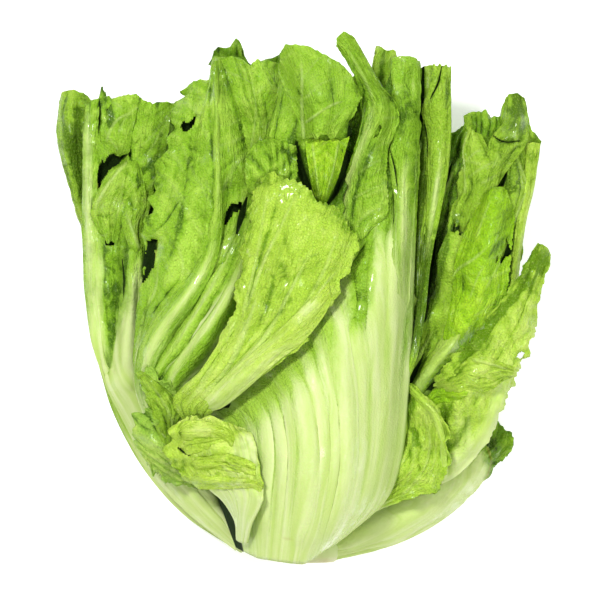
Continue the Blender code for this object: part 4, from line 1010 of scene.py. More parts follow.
# The lobe leaf rises in the middle of the tips. Its rounded lobe is torn off across its lower end,
# and the crinkled shoulder below it is folded into a bright triangle.
sheet = lay_leaf(
    "leaf_lobe", "leaf_green", FRESH_GREEN,
    stations=[((264, 500), (290, 500), (66, 68, 66)), ((244, 440), (290, 436), (52, 57, 55)),
      ((240, 380), (292, 376), (47, 53, 51)), ((248, 330), (298, 330), (56, 58, 52)),
      ((254, 290), (308, 290), (70, 72, 66)), ((257, 250), (326, 246), (82, 84, 80)),
      ((260, 212), (342, 206), (86, 90, 86)), ((258, 176), (348, 170), (88, 93, 88)),
      ((264, 146), (348, 142), (90, 98, 90)), ((277, 108), (354, 106), (90, 100, 92)),
      ((278, 74), (358, 88), (90, 98, 92))],
    top=[(278, 76), (280, 56), (286, 46), (306, 48), (330, 60), (350, 76), (358, 92)], thick=5, petiole=0.5,
    ruffle=2, waves=5, teeth=6.5, wrinkle=2.5, seed=8,
    ribs=[(6, 2.5, [(303, 70), (302, 100), (303, 138)]), (5, -5, [(300, 144), (326, 142), (350, 143)]),
      (6, -5, [(296, 150), (306, 182), (318, 206)]), (6, -5, [(350, 152), (340, 180), (328, 204)]),
      (8, 3, [(326, 150), (322, 196)]), (6, 3, [(268, 176), (284, 160), (292, 146)])],
    net=(56, 110), fade=(0.2, 0.6),
    midrib=[(277, 500), (266, 380), (280, 290), (300, 210), (303, 140), (303, 50)], pleats=(13, 0.9),
    creases=[(4, 4, [(298, 142), (301, 168), (309, 190), (320, 208)]),
      (4, 4, [(351, 140), (347, 168), (338, 188), (326, 206)])],
    tints=[(9, 0, -0.9, [(298, 150), (303, 180), (316, 206)]),
      (9, 0, -0.9, [(352, 130), (346, 170), (330, 206)])],
    hollows=[(5, 2, [(296, 142), (301, 170), (310, 192), (318, 206)]),
      (5, 2, [(350, 122), (347, 160), (337, 190), (326, 206)])],
)
lay_leaf(
    "leaf_lobe", "leaf_green", None, "lobe", sheet,
    net=(80, 96), seed=8.2, pleats=(19, 0.3), nicks=2, teeth=1.5, crinkle=0.35, vein_show=0.25,
    side_teeth=(0.5, 1), top=[(279, 76), (281, 56), (286, 46), (306, 48), (330, 60), (350, 76), (359, 92)],
    root=[(303, 141), (312, 139), (317, 141), (320, 136), (326, 136), (330, 141), (334, 139), (339, 130)],
    stations=[((303, 141), (337, 136), (3, 5, 3)), ((298, 122), (348, 118), (2, 4.5, 1.5)),
      ((288, 100), (359, 104), (1, 3, 1)), ((279, 76), (359, 92), (0.5, 1.5, 0.5))],
    veins=[(1.1, 1, [(304, 146), (302, 110), (302, 78), (300, 50)]),
      (0.9, 0.9, [(303, 126), (320, 114), (334, 106), (348, 102)]),
      (0.8, 0.5, [(302, 104), (318, 88), (340, 78)]), (0.8, 0.5, [(301, 84), (312, 68), (324, 56)])],
    creases=[(1.4, 1.2, [(296, 88), (300, 95), (303, 102)])],
)
BRIGHT_GREEN = ((0.3, 0.58, 0.012), (0.47, 0.76, 0.035), (0.07, 0.17, 0.004))
lay_leaf(
    "leaf_lobe", "leaf_green", BRIGHT_GREEN, "fold", sheet,
    net=(48, 60), seed=8.4, pleats=(11, 0.5), nicks=1, frill=0.4, crinkle=1.1,
    top=[(325, 204), (321, 206), (316, 204)],
    root=[(349, 137), (340, 142), (333, 139), (326, 143), (318, 140), (305, 141)],
    stations=[((349, 138), (305, 141), (1, 2, 1)), ((343, 160), (307, 160), (1.5, 5, 1.5)),
      ((336, 182), (311, 182), (1.5, 5, 1.5)), ((325, 205), (316, 205), (0, 2, 0))],
    veins=[(0.9, 0.8, [(312, 142), (316, 172), (320, 202)]),
      (0.9, 0.8, [(338, 142), (332, 172), (324, 202)])],
)
lay_leaf(
    "leaf_lobe", "leaf_green", None, "shoulder", sheet,
    net=(56, 50), seed=8.6, pleats=(8, 0.8), nicks=3, frill=1.6, crinkle=1.4,
    top=[(248, 154), (258, 142), (272, 140), (296, 147)],
    stations=[((250, 200), (290, 188), (-1, 0.5, -1)), ((246, 180), (297, 178), (1, 3, 1)),
      ((246, 162), (297, 162), (1.5, 4, 1.5)), ((248, 154), (296, 147), (2, 4, 2))],
    creases=[(2.4, 2.4, [(280, 148), (288, 154), (290, 160)]),
      (1.8, 1.8, [(264, 174), (272, 172), (282, 181), (296, 182)])],
    tints=[(5, 0, -0.4, [(280, 150), (290, 158)])],
)

# The right strip is the bright narrow leaf right of the centre leaf, beyond a dark gap: a thin blade
# on a pale midrib, its edges curled over and nicked.
sheet = lay_leaf(
    "leaf_right_strip", "leaf_green", SOFT_GREEN,
    stations=[((320, 500), (336, 508), (53, 54, 50)), ((344, 452), (368, 460), (48, 51, 47)),
      ((370, 398), (392, 404), (43, 48, 44)), ((394, 340), (408, 344), (48, 53, 50)),
      ((406, 290), (420, 292), (52, 58, 56)), ((413, 230), (431, 232), (56, 62, 60)),
      ((416, 180), (441, 186), (58, 65, 62)), ((417, 120), (450, 130), (58, 66, 64)),
      ((417, 68), (450, 68), (58, 66, 64))], top=[(417, 68), (424, 66), (432, 65), (442, 66), (450, 67)],
    thick=4, petiole=0.45, ruffle=1, waves=6, teeth=2.5, wrinkle=2, seed=9,
    ribs=[(5, 2.5, [(446, 70), (446, 140), (436, 195), (426, 230), (418, 300)]),
      (6, -4, [(425, 75), (423, 110), (425, 150), (422, 200)])],
    net=(34, 150), fade=(0.3, 0.75), pleats=(10, 0.8), side_teeth=(1, 0.2),
    midrib=[(328, 504), (357, 456), (381, 401), (402, 342), (418, 300), (430, 225), (444, 150), (446, 66)],
    tints=[(6, 0, -0.6, [(421, 60), (420, 110), (421, 160), (414, 290)]),
      (10, -0.4, -0.7, [(412, 300), (400, 350)])],
    hollows=[(3, 1, [(424, 62), (422, 100), (421, 140)]),
      (4.5, 1.5, [(423, 150), (414, 210), (411, 270), (407, 330), (400, 380)])],
)
lay_leaf(
    "leaf_right_strip", "leaf_green", None, "ribbon", sheet,
    net=(14, 110), seed=9.2, pleats=(7, 0.6), side_teeth=(1, 0.3), top=[(424, 138), (429, 136)],
    stations=[((414, 330), (417, 330), (-1, -1, -1)), ((415, 285), (420, 287), (-1, 1, -1)),
      ((415, 240), (421, 240), (0, 1.5, 0)), ((418, 190), (425, 190), (0, 1.5, 0)),
      ((424, 138), (429, 136), (0, 1.5, 0))],
    tints=[(8, -0.8, -0.9, [(424, 138), (419, 200), (418, 260), (414, 330)])],
)
lay_leaf(
    "leaf_right_strip", "leaf_green", None, "blade", sheet,
    net=(28, 120), seed=9.4, pleats=(13, 0.3), teeth=2, crinkle=0.6, side_teeth=(0.6, 0.1), vein_show=0.2,
    top=[(433, 67), (434, 63), (437, 68), (440, 63), (443, 68), (446, 64), (448, 68), (451, 66)],
    stations=[((400, 396), (404, 396), (-1, -1, -1)), ((411, 352), (418, 354), (0, 1, 0)),
      ((418, 306), (426, 308), (0.5, 1.5, 0.5)), ((421, 262), (431, 262), (1, 2, 1)),
      ((426, 215), (440, 216), (1, 3, 1)), ((428, 170), (448, 172), (1, 3.5, 1)),
      ((427, 134), (451, 136), (1.5, 3.5, 1)), ((422, 110), (451, 112), (2, 3.5, 1)),
      ((429, 90), (451, 90), (1.5, 3, 1)), ((433, 67), (451, 68), (1, 2.5, 1))],
    veins=[(2.2, 1, [(427, 262), (431, 225), (436, 190), (441, 160)])],
    hollows=[(1.6, 1, [(442, 66), (438, 84), (431, 99)]), (1.3, 1, [(425, 118), (427, 136), (428, 158)])],
    creases=[(1.6, 1.6, [(443, 68), (440, 80), (432, 92)])],
    tints=[(4, 0, -0.35, [(434, 70), (432, 84)]), (3, 0, -0.3, [(448, 74), (446, 140)]),
      (8, -1.1, -1, [(427, 228), (427, 262), (424, 300), (412, 352)]),
      (3, 0.4, 0.2, [(427, 262), (431, 225), (436, 190), (441, 160)])],
)

# The right back leaf is a dark narrow blade in the shade between its neighbours, thin and soft, on a
# stalk that is hidden below them.
lay_leaf(
    "leaf_right_back", "leaf_green", DEEP_GREEN,
    stations=[((326, 518), (336, 530), (32, 32, 32)), ((348, 462), (372, 476), (31, 31.5, 30)),
      ((384, 400), (410, 408), (30, 32, 30)), ((408, 340), (432, 350), (33, 37, 36)),
      ((424, 280), (450, 290), (41, 46, 45)), ((430, 225), (462, 235), (46, 51, 48)),
      ((440, 185), (470, 195), (48, 53, 49)), ((450, 150), (474, 155), (50, 54, 50)),
      ((462, 116), (476, 118), (50, 53, 50))], top=[(462, 116), (467, 111), (472, 112), (476, 118)], thick=4,
    petiole=0.45, ruffle=1.5, waves=6, teeth=5.5, wrinkle=2, seed=10,
    ribs=[(5, 2.5, [(420, 345), (436, 285), (446, 230), (460, 170)])],
    holes=[[(434, 92), (471, 92), (468, 116), (461, 132), (454, 147), (449, 166), (438, 170)]],
    hollows=[(3, 1.5, [(453, 162), (447, 180), (440, 198)]),
      (6, 2, [(436, 240), (428, 285), (418, 340), (406, 380)])],
    net=(28, 110), fade=(0.2, 0.5), pleats=(9, 0.8),
    midrib=[(331, 524), (360, 468), (397, 404), (420, 345), (436, 285), (450, 210), (468, 112)],
    veins=[(1.6, 1, [(428, 262), (436, 220), (447, 188), (459, 162)])],
    creases=[(2.4, 2, [(470, 118), (456, 160), (444, 185)]), (3, 2.5, [(448, 230), (436, 270), (424, 310)])],
    tints=[(14, -0.6, -0.7, [(446, 200), (434, 260), (418, 340)]),
      (2.2, 0.5, 0.5, [(428, 262), (436, 220), (447, 188), (459, 162)])],
)

# The right upper leaf is a thin bright crinkled blade with a slit near the tip and small holes. Folds
# of it lie over each other, with shaded ones beneath.
sheet = lay_leaf(
    "leaf_right_upper", "leaf_green", SOFT_GREEN,
    stations=[((328, 520), (342, 534), (38, 38, 38)), ((356, 474), (382, 492), (37.5, 38.5, 37)),
      ((390, 408), (418, 424), (38, 42, 40)), ((416, 354), (452, 380), (46, 52, 48)),
      ((432, 296), (500, 330), (54, 62, 56)), ((444, 238), (518, 276), (59, 69, 59)),
      ((460, 190), (526, 216), (61, 70, 60)), ((468, 150), (534, 172), (61, 68, 61)),
      ((468, 122), (541, 142), (61, 67, 61))],
    top=[(466, 116), (474, 112), (484, 114), (492, 118), (501, 117), (503, 106), (507, 96), (516, 94),
      (525, 100), (528, 114), (532, 130), (541, 141)], thick=5, petiole=0.4, ruffle=3, waves=5, teeth=4,
    wrinkle=4, seed=11,
    ribs=[(6, 3, [(405, 402), (428, 375), (452, 345), (472, 318), (488, 270), (496, 210)]),
      (6, -4, [(503, 160), (500, 188)]), (6, 3, [(516, 110), (520, 160), (508, 210)])],
    net=(64, 140), fade=(0.12, 0.4), pleats=(12, 0.9), closer=1.6, crinkle=1.1,
    midrib=[(334, 527), (370, 482), (405, 410), (428, 375), (452, 345), (472, 318), (490, 270), (496, 210),
      (500, 116)],
    flow=[[(326, 522), (354, 478), (388, 412), (414, 360), (430, 300), (443, 240), (459, 190), (467, 110)],
      [(334, 527), (370, 482), (405, 410), (428, 375), (455, 342), (482, 300), (492, 250), (500, 200),
      (504, 110)], [(343, 535), (384, 494), (420, 426), (454, 382), (502, 332), (520, 276), (528, 216),
      (543, 130)]],
    veins=[(2.2, 1, [(398, 418), (420, 385), (436, 364), (455, 342), (474, 316), (484, 300)]),
      (1.2, 0.8, [(410, 372), (424, 350), (436, 326)]), (1.2, 0.8, [(424, 396), (444, 376), (462, 358)])],
    creases=[(2, 1.6, [(414, 378), (430, 356), (446, 330)])],
    tints=[(14, 0, -0.7, [(470, 118), (490, 130), (500, 180)]),
      (7, -0.9, -0.9, [(428, 318), (434, 292), (441, 262), (446, 232)]),
      (10, 0.2, 0.3, [(430, 366), (448, 340), (462, 320)]),
      (7, -0.4, -0.5, [(406, 390), (424, 356), (434, 326)]),
      (13, -0.1, 0.4, [(440, 372), (468, 340), (500, 290)]),
      (7, 0, -0.9, [(520, 205), (514, 250), (510, 300)]),
      (9, 0, -0.7, [(455, 230), (466, 214), (480, 200)]),
      (16, -0.3, -0.6, [(424, 396), (440, 384), (462, 366)]),
      (3, 0.3, 0.15, [(404, 412), (428, 377), (455, 342), (470, 322)])],
    holes=[[(498, 187), (497, 174), (501, 166), (507, 162), (506, 172), (503, 184)],
      [(461, 233), (460, 226), (462, 221), (468, 220), (466, 228)],
      [(452, 228), (452, 223), (455, 222), (455, 231)]],
    hollows=[(4, 1.5, [(503, 186), (504, 176), (505, 163)]), (3, 1.5, [(454, 230), (462, 226), (468, 220)]),
      (4, 1.5, [(512, 236), (508, 252), (502, 262)]), (4, 1.5, [(408, 398), (414, 380), (424, 356)]),
      (4, 1.5, [(424, 392), (434, 384), (446, 376)]), (2.5, 1, [(487, 120), (490, 132), (495, 142)])],
)
# A folded-back blade beneath the sheet, painted very dark as painted shade seen through its holes.
lay_leaf(
    "leaf_right_upper", "leaf_green", SHADED_GREEN, "under", sheet,
    net=(24, 40), seed=11.1, top=[(474, 140), (500, 130), (522, 144)], pleats=(9, 1.2),
    stations=[((446, 300), (500, 310), (-8, -7, -8)), ((452, 240), (506, 250), (-8, -7, -8)),
      ((464, 190), (512, 200), (-8, -7, -8)), ((474, 140), (520, 144), (-7, -6, -7))],
)
lay_leaf(
    "leaf_right_upper", "leaf_green", DEEP_GREEN, "curl", sheet,
    net=(30, 30), seed=11.2, pleats=(7, 1), crinkle=1.6, frill=2, nicks=4,
    top=[(472, 116), (478, 112), (486, 110), (491, 117), (502, 115)],
    stations=[((472, 140), (500, 140), (-1, 0, -1)), ((473, 126), (503, 127), (1, 3, 1)),
      ((472, 116), (502, 115), (1, 2, 1))],
)
LIGHT_GREEN = ((0.43, 0.66, 0.054), (0.58, 0.78, 0.12), (0.145, 0.3, 0.006))
lay_leaf(
    "leaf_right_upper", "leaf_green", LIGHT_GREEN, "side", sheet,
    net=(24, 100), seed=11.5, pleats=(12, 0.3), side_teeth=(0.6, 0.1), vein_show=0,
    top=[(526, 143), (534, 142), (541, 143)],
    stations=[((505, 322), (513, 318), (-1, -1, -1)), ((510, 284), (518, 286), (0, 1, 0)),
      ((514, 250), (522, 250), (0, 2, 0)), ((517, 218), (527, 217), (0.5, 2.5, 1)),
      ((522, 190), (534, 190), (0.5, 3, 1)), ((526, 165), (538, 165), (1, 2.5, 1)),
      ((526, 143), (541, 143), (1, 2, 1))],
    veins=[(1.4, 0.8, [(514, 300), (520, 250), (527, 212), (535, 180), (540, 146)])],
)
lay_leaf(
    "leaf_right_upper", "leaf_green", None, "inner", sheet,
    net=(24, 76), seed=11.6, pleats=(7, 0.8), top=[(509, 154), (514, 151), (521, 154)],
    side_teeth=(0.8, 0.4),
    stations=[((508, 238), (515, 234), (-1, -1, -1)), ((508, 210), (521, 210), (1, 2.5, 1)),
      ((507, 188), (528, 188), (1, 3, 1)), ((508, 168), (525, 170), (1, 3, 1)),
      ((509, 154), (521, 154), (1, 2, 1))],
    veins=[(1.4, 1, [(513, 228), (520, 206), (527, 188), (521, 168), (513, 154)])],
    creases=[(1.8, 1.8, [(506, 196), (513, 190), (520, 176)])],
    tints=[(10, 0, -0.45, [(512, 150), (510, 200)])],
)
lay_leaf(
    "leaf_right_upper", "leaf_green", None, "collar", sheet,
    tints=[(18, 0, -0.05, [(466, 140), (478, 172), (474, 215)])], net=(44, 70), seed=11.8, pleats=(14, 0.5),
    crinkle=0.9, top=[(470, 126), (475, 132), (482, 134)], nicks=2, vein_show=0.6, slant=0.5,
    stations=[((452, 232), (474, 232), (-1, 0, -1)), ((457, 206), (488, 204), (1, 3, 1)),
      ((464, 190), (497, 186), (1, 4, 1.5)), ((464, 168), (499, 166), (1, 4, 1.5)),
      ((463, 150), (490, 150), (1, 4, 1)), ((470, 128), (483, 134), (1, 2.5, 1))],
    veins=[(1.6, 1, [(466, 196), (464, 172), (463, 150), (470, 128)]),
      (1, 0.8, [(468, 160), (476, 152), (484, 150)]), (1, 0.7, [(468, 178), (482, 168), (498, 160)])],
)
lay_leaf(
    "leaf_right_upper", "leaf_green", BRIGHT_GREEN, "bright", sheet,
    net=(60, 110), seed=11.3, pleats=(16, 0.5), nicks=3, crinkle=0.8,
    top=[(484, 194), (492, 188), (500, 187), (506, 190), (508, 198)],
    stations=[((440, 356), (478, 368), (-1, -1, -1)), ((448, 318), (496, 328), (0, 3, 0)),
      ((453, 288), (506, 296), (1, 6, 2)), ((456, 258), (511, 262), (2, 8, 2.5)),
      ((463, 238), (513, 236), (2, 8, 3)), ((472, 216), (515, 214), (2, 8, 3)),
      ((484, 194), (508, 198), (3, 6, 3))],
    veins=[(1.3, 1, [(440, 302), (455, 273), (475, 258), (492, 242)]),
      (1, 0.6, [(484, 290), (500, 262), (510, 244)]), (1, 0.6, [(470, 300), (478, 276), (486, 262)]),
      (1, 0.6, [(476, 240), (484, 216), (492, 196)])],
    creases=[(1.6, 1.2, [(460, 252), (466, 249), (473, 250)]),
      (1.6, 1.4, [(484, 192), (476, 208), (468, 228)])],
    holes=[[(500, 262), (503, 250), (506, 240), (509, 246), (512, 254), (506, 256), (502, 262)],
      [(496, 257), (498, 259), (496, 262)]],
)
lay_leaf(
    "leaf_right_upper", "leaf_green", None, "top", sheet,
    net=(34, 90), seed=11.7, pleats=(13, 0.3), crinkle=0.6, teeth=2,
    top=[(506, 99), (509, 94), (518, 93), (525, 98)], side_teeth=(0.3, 0.3), vein_show=0.2,
    stations=[((470, 204), (486, 206), (-1, -1, -1)), ((478, 184), (500, 182), (0.5, 2, 0.5)),
      ((485, 164), (512, 164), (1, 3.5, 1)), ((488, 148), (523, 150), (2, 4.5, 1.5)),
      ((492, 136), (528, 136), (2, 4.5, 1.5)), ((504, 122), (528, 123), (1.5, 4, 1)),
      ((505, 108), (527, 108), (1, 4, 1)), ((506, 99), (525, 98), (1, 3, 1))],
    creases=[(2, 2, [(490, 134), (500, 142), (514, 142), (528, 138)]),
      (1.8, 1.4, [(508, 156), (516, 148), (526, 146)])],
    hollows=[(1.2, 0.8, [(492, 135), (504, 142), (520, 141)])],
    tints=[(12, 0, -0.5, [(516, 90), (516, 136)]), (12, 0, -0.3, [(508, 146), (490, 180)]),
      (5, 0.2, 0.2, [(500, 150), (490, 176)])],
)

# The right outer leaf is nearly all petiole: thick, smooth and pale, browned where its blade broke
# off, with a curl of dark green at the end.
sheet = lay_leaf(
    "leaf_right_outer", "leaf_pale", DEEP_GREEN,
    stations=[((308, 551), (338, 563), (29, 28, 26)), ((364, 517), (396, 547), (25, 31, 22)),
      ((408, 494), (438, 526), (22, 33, 18)), ((446, 470), (472, 499), (22, 33, 17)),
      ((474, 448), (494, 474), (24, 32, 19)), ((486, 434), (507, 460), (23, 29, 23)),
      ((490, 424), (516, 446), (23, 29, 25))],
    top=[(488, 424), (498, 421), (506, 430), (514, 436), (516, 446)], thick=7, petiole=0.72, ruffle=2,
    waves=8, teeth=9, wrinkle=2.5, seed=12,
    ribs=[(6, 1.6, [(350, 545), (400, 512), (440, 486), (480, 455)])], net=(46, 110), fade=(0.77, 0.86),
    midrib=[(324, 557), (400, 520), (455, 480), (500, 435)], pleats=(20, 0.5), crinkle=1.8, frill=2, nicks=4,
    creases=[(2, 2, [(484, 450), (494, 462), (502, 472)])],
    scars=[(1.8, 0.5, [(489, 450), (493, 462), (489, 480)])],
    tints=[(12, 0.3, 0.2, [(340, 555), (400, 520), (470, 470)]),
      (16, 0.5, 0.5, [(360, 530), (400, 505), (440, 480), (486, 452)]),
      (8, 0.5, 0.1, [(470, 452), (482, 470), (480, 486)])],
)
lay_leaf(
    "leaf_right_outer", "leaf_pale", DEEP_GREEN, "curl", sheet,
    net=(34, 44), seed=12.4, pleats=(7, 0.8), crinkle=1.4, frill=2, nicks=4,
    top=[(490, 424), (498, 421), (507, 430), (512, 438), (517, 440)],
    stations=[((484, 452), (500, 468), (-2, -1, -2)), ((486, 440), (508, 460), (1, 3, 1)),
      ((489, 430), (515, 452), (1, 3.5, 1)), ((491, 424), (517, 442), (1, 2, 1))],
    tints=[(7, 0, -0.5, [(488, 446), (500, 444)]), (6, 0, 0.4, [(500, 462), (514, 446)])],
)

# The right front leaf curls forward over the right side, with a pale petiole, a crinkled rim and a
# serrated edge that runs up to its pointed tip.
sheet = lay_leaf(
    "leaf_right_front", "leaf_green", LIGHT_GREEN,
    stations=[((338, 512), (352, 526), (44, 44, 44)), ((376, 472), (404, 500), (43.5, 44.5, 44)),
      ((402, 444), (456, 478), (46, 51, 46)), ((428, 404), (490, 440), (52, 60, 50)),
      ((440, 374), (506, 402), (63, 71, 56)), ((470, 342), (520, 368), (71, 76, 62)),
      ((498, 304), (535, 332), (73, 77, 66)), ((520, 274), (541, 292), (71, 74, 67)),
      ((533, 250), (551, 258), (70, 72, 68))], top=[(533, 250), (538, 243), (545, 247), (551, 257)], thick=4,
    petiole=0.4, ruffle=4, waves=9, teeth=10, wrinkle=4, seed=13,
    ribs=[(6, 2.5, [(402, 490), (450, 470), (488, 428), (504, 396), (518, 350)]),
      (6, 3.5, [(446, 388), (470, 392), (506, 384)])], net=(76, 170), fade=(0.16, 0.5), pleats=(11, 0.8),
    closer=1.8, crinkle=1.3, frill=1.4, nicks=4, side_teeth=(1, 0.8),
    flow=[[(337, 510), (374, 470), (402, 442), (426, 404), (440, 374), (470, 340), (498, 302), (520, 272),
      (534, 246)], [(345, 519), (390, 486), (432, 462), (462, 424), (476, 388), (496, 354), (516, 318),
      (530, 284), (542, 246)], [(353, 527), (406, 501), (458, 480), (492, 440), (508, 402), (522, 368),
      (537, 332), (543, 292), (553, 256)]],
    midrib=[(345, 519), (390, 486), (450, 468), (486, 428), (504, 396), (518, 350), (542, 250)],
    veins=[(1.1, 0.8, [(456, 468), (458, 430), (454, 400)]),
      (1.1, 0.8, [(468, 460), (470, 430), (466, 398)]), (1, 0.6, [(478, 448), (480, 420), (478, 396)]),
      (1, 0.6, [(506, 350), (496, 338), (490, 330)])],
    creases=[(2.6, 5, [(442, 396), (446, 420), (444, 440), (449, 462), (447, 482)]),
      (1.6, 1.6, [(462, 404), (466, 430), (464, 456)]), (2, 1.8, [(534, 260), (524, 285), (514, 305)])],
    tints=[(9, 0.8, 0.25, [(456, 478), (480, 452), (494, 418), (502, 385), (508, 366)]),
      (14, -0.4, -0.5, [(540, 244), (530, 272), (516, 294)]),
      (5, -0.3, -0.9, [(526, 282), (502, 310), (482, 336), (458, 366)]),
      (5, -0.4, -0.5, [(444, 400), (446, 440), (449, 470)]), (8, 0.3, 0.1, [(462, 410), (470, 450)])],
    holes=[[(517, 357), (519, 352), (524, 353), (522, 358)]],
)
lay_leaf(
    "leaf_right_front", "leaf_green", BRIGHT_GREEN, "frill_under", sheet,
    net=(26, 60), seed=13.2, pleats=(7, 0.8), crinkle=1.3, frill=1.6, nicks=3,
    top=[(466, 386), (468, 392), (464, 398)], vein_show=0.2,
    stations=[((426, 400), (428, 408), (-1, 0, -1)), ((436, 390), (440, 403), (0.5, 2, 0.5)),
      ((450, 388), (452, 402), (0.5, 2, 0.5)), ((466, 386), (464, 398), (0, 1, 0))],
)
lay_leaf(
    "leaf_right_front", "leaf_green", LIGHT_GREEN, "rim", sheet,
    net=(44, 96), seed=13.4, pleats=(8, 0.8), crinkle=1.2, frill=1.8, nicks=4,
    top=[(513, 367), (514, 372), (511, 378)],
    stations=[((434, 382), (434, 390), (0, 1, 0)), ((446, 376), (447, 391), (1, 2.5, 1)),
      ((456, 370), (458, 392), (1, 3.5, 1)), ((464, 362), (470, 389), (1.5, 4, 1.5)),
      ((474, 355), (482, 392), (1.5, 4, 2)), ((487, 357), (495, 388), (1.5, 4, 2)),
      ((500, 362), (504, 380), (1.5, 3, 1.5)), ((513, 367), (511, 378), (1, 2, 1))],
    veins=[(1, 1, [(470, 359), (484, 362), (498, 366), (512, 371)])],
    creases=[(1.8, 1.8, [(440, 384), (452, 378), (464, 368)]),
      (1.6, 1.6, [(472, 380), (484, 378), (494, 382)])],
    tints=[(5, 0, -0.3, [(454, 374), (462, 366)]), (6, 0.2, 0.3, [(470, 362), (490, 368)])],
)

# The centre leaf is the main one: a broad ribbed petiole, whitish and glossy, that bends up the
# middle and narrows into two green strips of blade with dark creases between them.
sheet = lay_leaf(
    "leaf_center", "leaf_pale", FRESH_GREEN,
    stations=[((238, 548), (344, 538), (49, 72, 81, 71, 48)),
      ((224, 508), (384, 500), (52, 84, 98, 87, 54)), ((212, 470), (400, 456), (54, 86, 106, 95, 58)),
      ((206, 412), (406, 396), (56, 84, 104, 97, 62)), ((258, 352), (410, 330), (62, 86, 99, 94, 64)),
      ((318, 288), (412, 270), (68, 84, 92, 88, 66)), ((340, 235), (416, 210), (75, 84, 86, 82, 68)),
      ((348, 180), (419, 160), (79, 86, 84, 79, 69)), ((364, 128), (419, 115), (83, 87, 82, 78, 69)),
      ((358, 86), (419, 84), (85, 88, 82, 77, 69)), ((340, 56), (419, 64), (85, 86, 82, 77, 69))],
    top=[(336, 47), (343, 34), (357, 45), (369, 66), (384, 90), (390, 76), (392, 60), (405, 56), (419, 60)],
    root=[(238, 548), (262, 556), (300, 558), (318, 548), (344, 536)], thick=9, petiole=0.62, ruffle=1,
    waves=6, teeth=3, wrinkle=2.5, seed=14,
    ribs=[(8, 2.5, [(232, 404), (250, 400), (264, 420), (268, 460), (264, 515)]),
      (8, 3, [(262, 368), (284, 374), (302, 400), (308, 450), (304, 530)]),
      (8, 3, [(320, 306), (336, 350), (346, 410), (346, 470), (330, 530)]),
      (8, 2.5, [(352, 520), (376, 470), (384, 400), (392, 310), (400, 200), (404, 70)]),
      (6, 3, [(348, 205), (366, 158), (383, 112)]), (6, -4,
      [(390, 230), (396, 190), (388, 152), (392, 100)])], net=(124, 200), fade=(0.46, 0.74), pleats=(14, 1),
    closer=1.3, fluting=0.2, vein_show=0, crinkle=0.5, frill=0.4, nicks=1,
    flow=[[(246, 552), (238, 505), (231, 465), (224, 436), (204, 414)],
      [(257, 555), (254, 505), (257, 460), (254, 428), (240, 410), (214, 406)],
      [(268, 557), (270, 505), (273, 460), (271, 425), (260, 402), (242, 393), (220, 396)],
      [(280, 559), (286, 505), (290, 460), (288, 425), (279, 395), (262, 380), (240, 380)],
      [(290, 559), (300, 505), (305, 460), (304, 425), (297, 390), (280, 366), (260, 350)],
      [(299, 559), (314, 505), (321, 460), (321, 420), (316, 385), (304, 352), (286, 328)],
      [(307, 557), (328, 505), (336, 460), (337, 420), (335, 385), (329, 345), (318, 290)],
      [(316, 554), (341, 505), (350, 460), (352, 420), (351, 385), (349, 345), (345, 300), (342, 230),
      (340, 60)], [(325, 550), (355, 505), (366, 460), (370, 420), (371, 385), (372, 345), (372, 300),
      (372, 230), (372, 60)], [(334, 545), (370, 505), (384, 460), (391, 420), (393, 385), (394, 345),
      (396, 300), (398, 230), (400, 60)], [(345, 540), (386, 503), (402, 458), (409, 400), (412, 340),
      (415, 272), (419, 210), (422, 60)]],
    midrib=[(292, 553), (308, 470), (312, 400), (360, 300), (383, 210), (388, 60)],
    creases=[(2, 2.6, [(370, 236), (360, 256), (351, 270)]), (2.6, 2, [(357, 272), (358, 300), (352, 332)]),
      (2.4, 2, [(369, 244), (368, 280), (366, 310), (360, 336)]),
      (1.8, 1.6, [(232, 431), (240, 427), (249, 426)]), (1.8, 1.6, [(238, 430), (246, 433), (254, 438)]),
      (1.8, 1.2, [(324, 318), (326, 332), (329, 346)])],
    tints=[(20, -0.8, 0.3, [(200, 436), (230, 424), (256, 404), (284, 380), (308, 350), (342, 300)]),
      (26, -0.16, 0, [(280, 390), (284, 440), (284, 500)]),
      (22, -0.12, 0, [(322, 370), (334, 430), (334, 470)]),
      (11, -0.75, -0.2, [(369, 238), (366, 265), (364, 300), (360, 325)]),
      (5, -0.5, -0.1, [(362, 270), (357, 310), (350, 345)]),
      (4, -0.4, -0.05, [(404, 290), (401, 330), (396, 390)]),
      (30, -0.12, 0.1, [(340, 320), (290, 372), (240, 424), (220, 450)]),
      (5, -0.6, -0.2, [(410, 285), (407, 320), (403, 362)]),
      (5, 0.3, 0.3, [(380, 236), (380, 290), (374, 350)]),
      (5, 0.3, 0.3, [(342, 304), (346, 350), (352, 400), (350, 450)]),
      (20, 0.3, 0.35, [(330, 480), (345, 470)]), (5, 0.2, 0.25, [(401, 262), (397, 320), (390, 372)]),
      (16, 0, -0.5, [(384, 60), (384, 110), (388, 170), (390, 226)]),
      (6, 0.2, 0.3, [(292, 400), (293, 440), (288, 500)]),
      (6, 0.2, 0.3, [(313, 380), (316, 420), (312, 480)])],
    scars=[(1, 0.35, [(287, 533), (300, 535), (313, 539)]), (2, 0.5, [(300, 557), (308, 556), (314, 551)])],
    hollows=[(2.6, 2, [(370, 232), (360, 252), (350, 271)]), (1.6, 1, [(214, 413), (224, 409), (234, 406)]),
      (8, 1, [(208, 482), (219, 498), (228, 514), (236, 531), (246, 556)])],
)
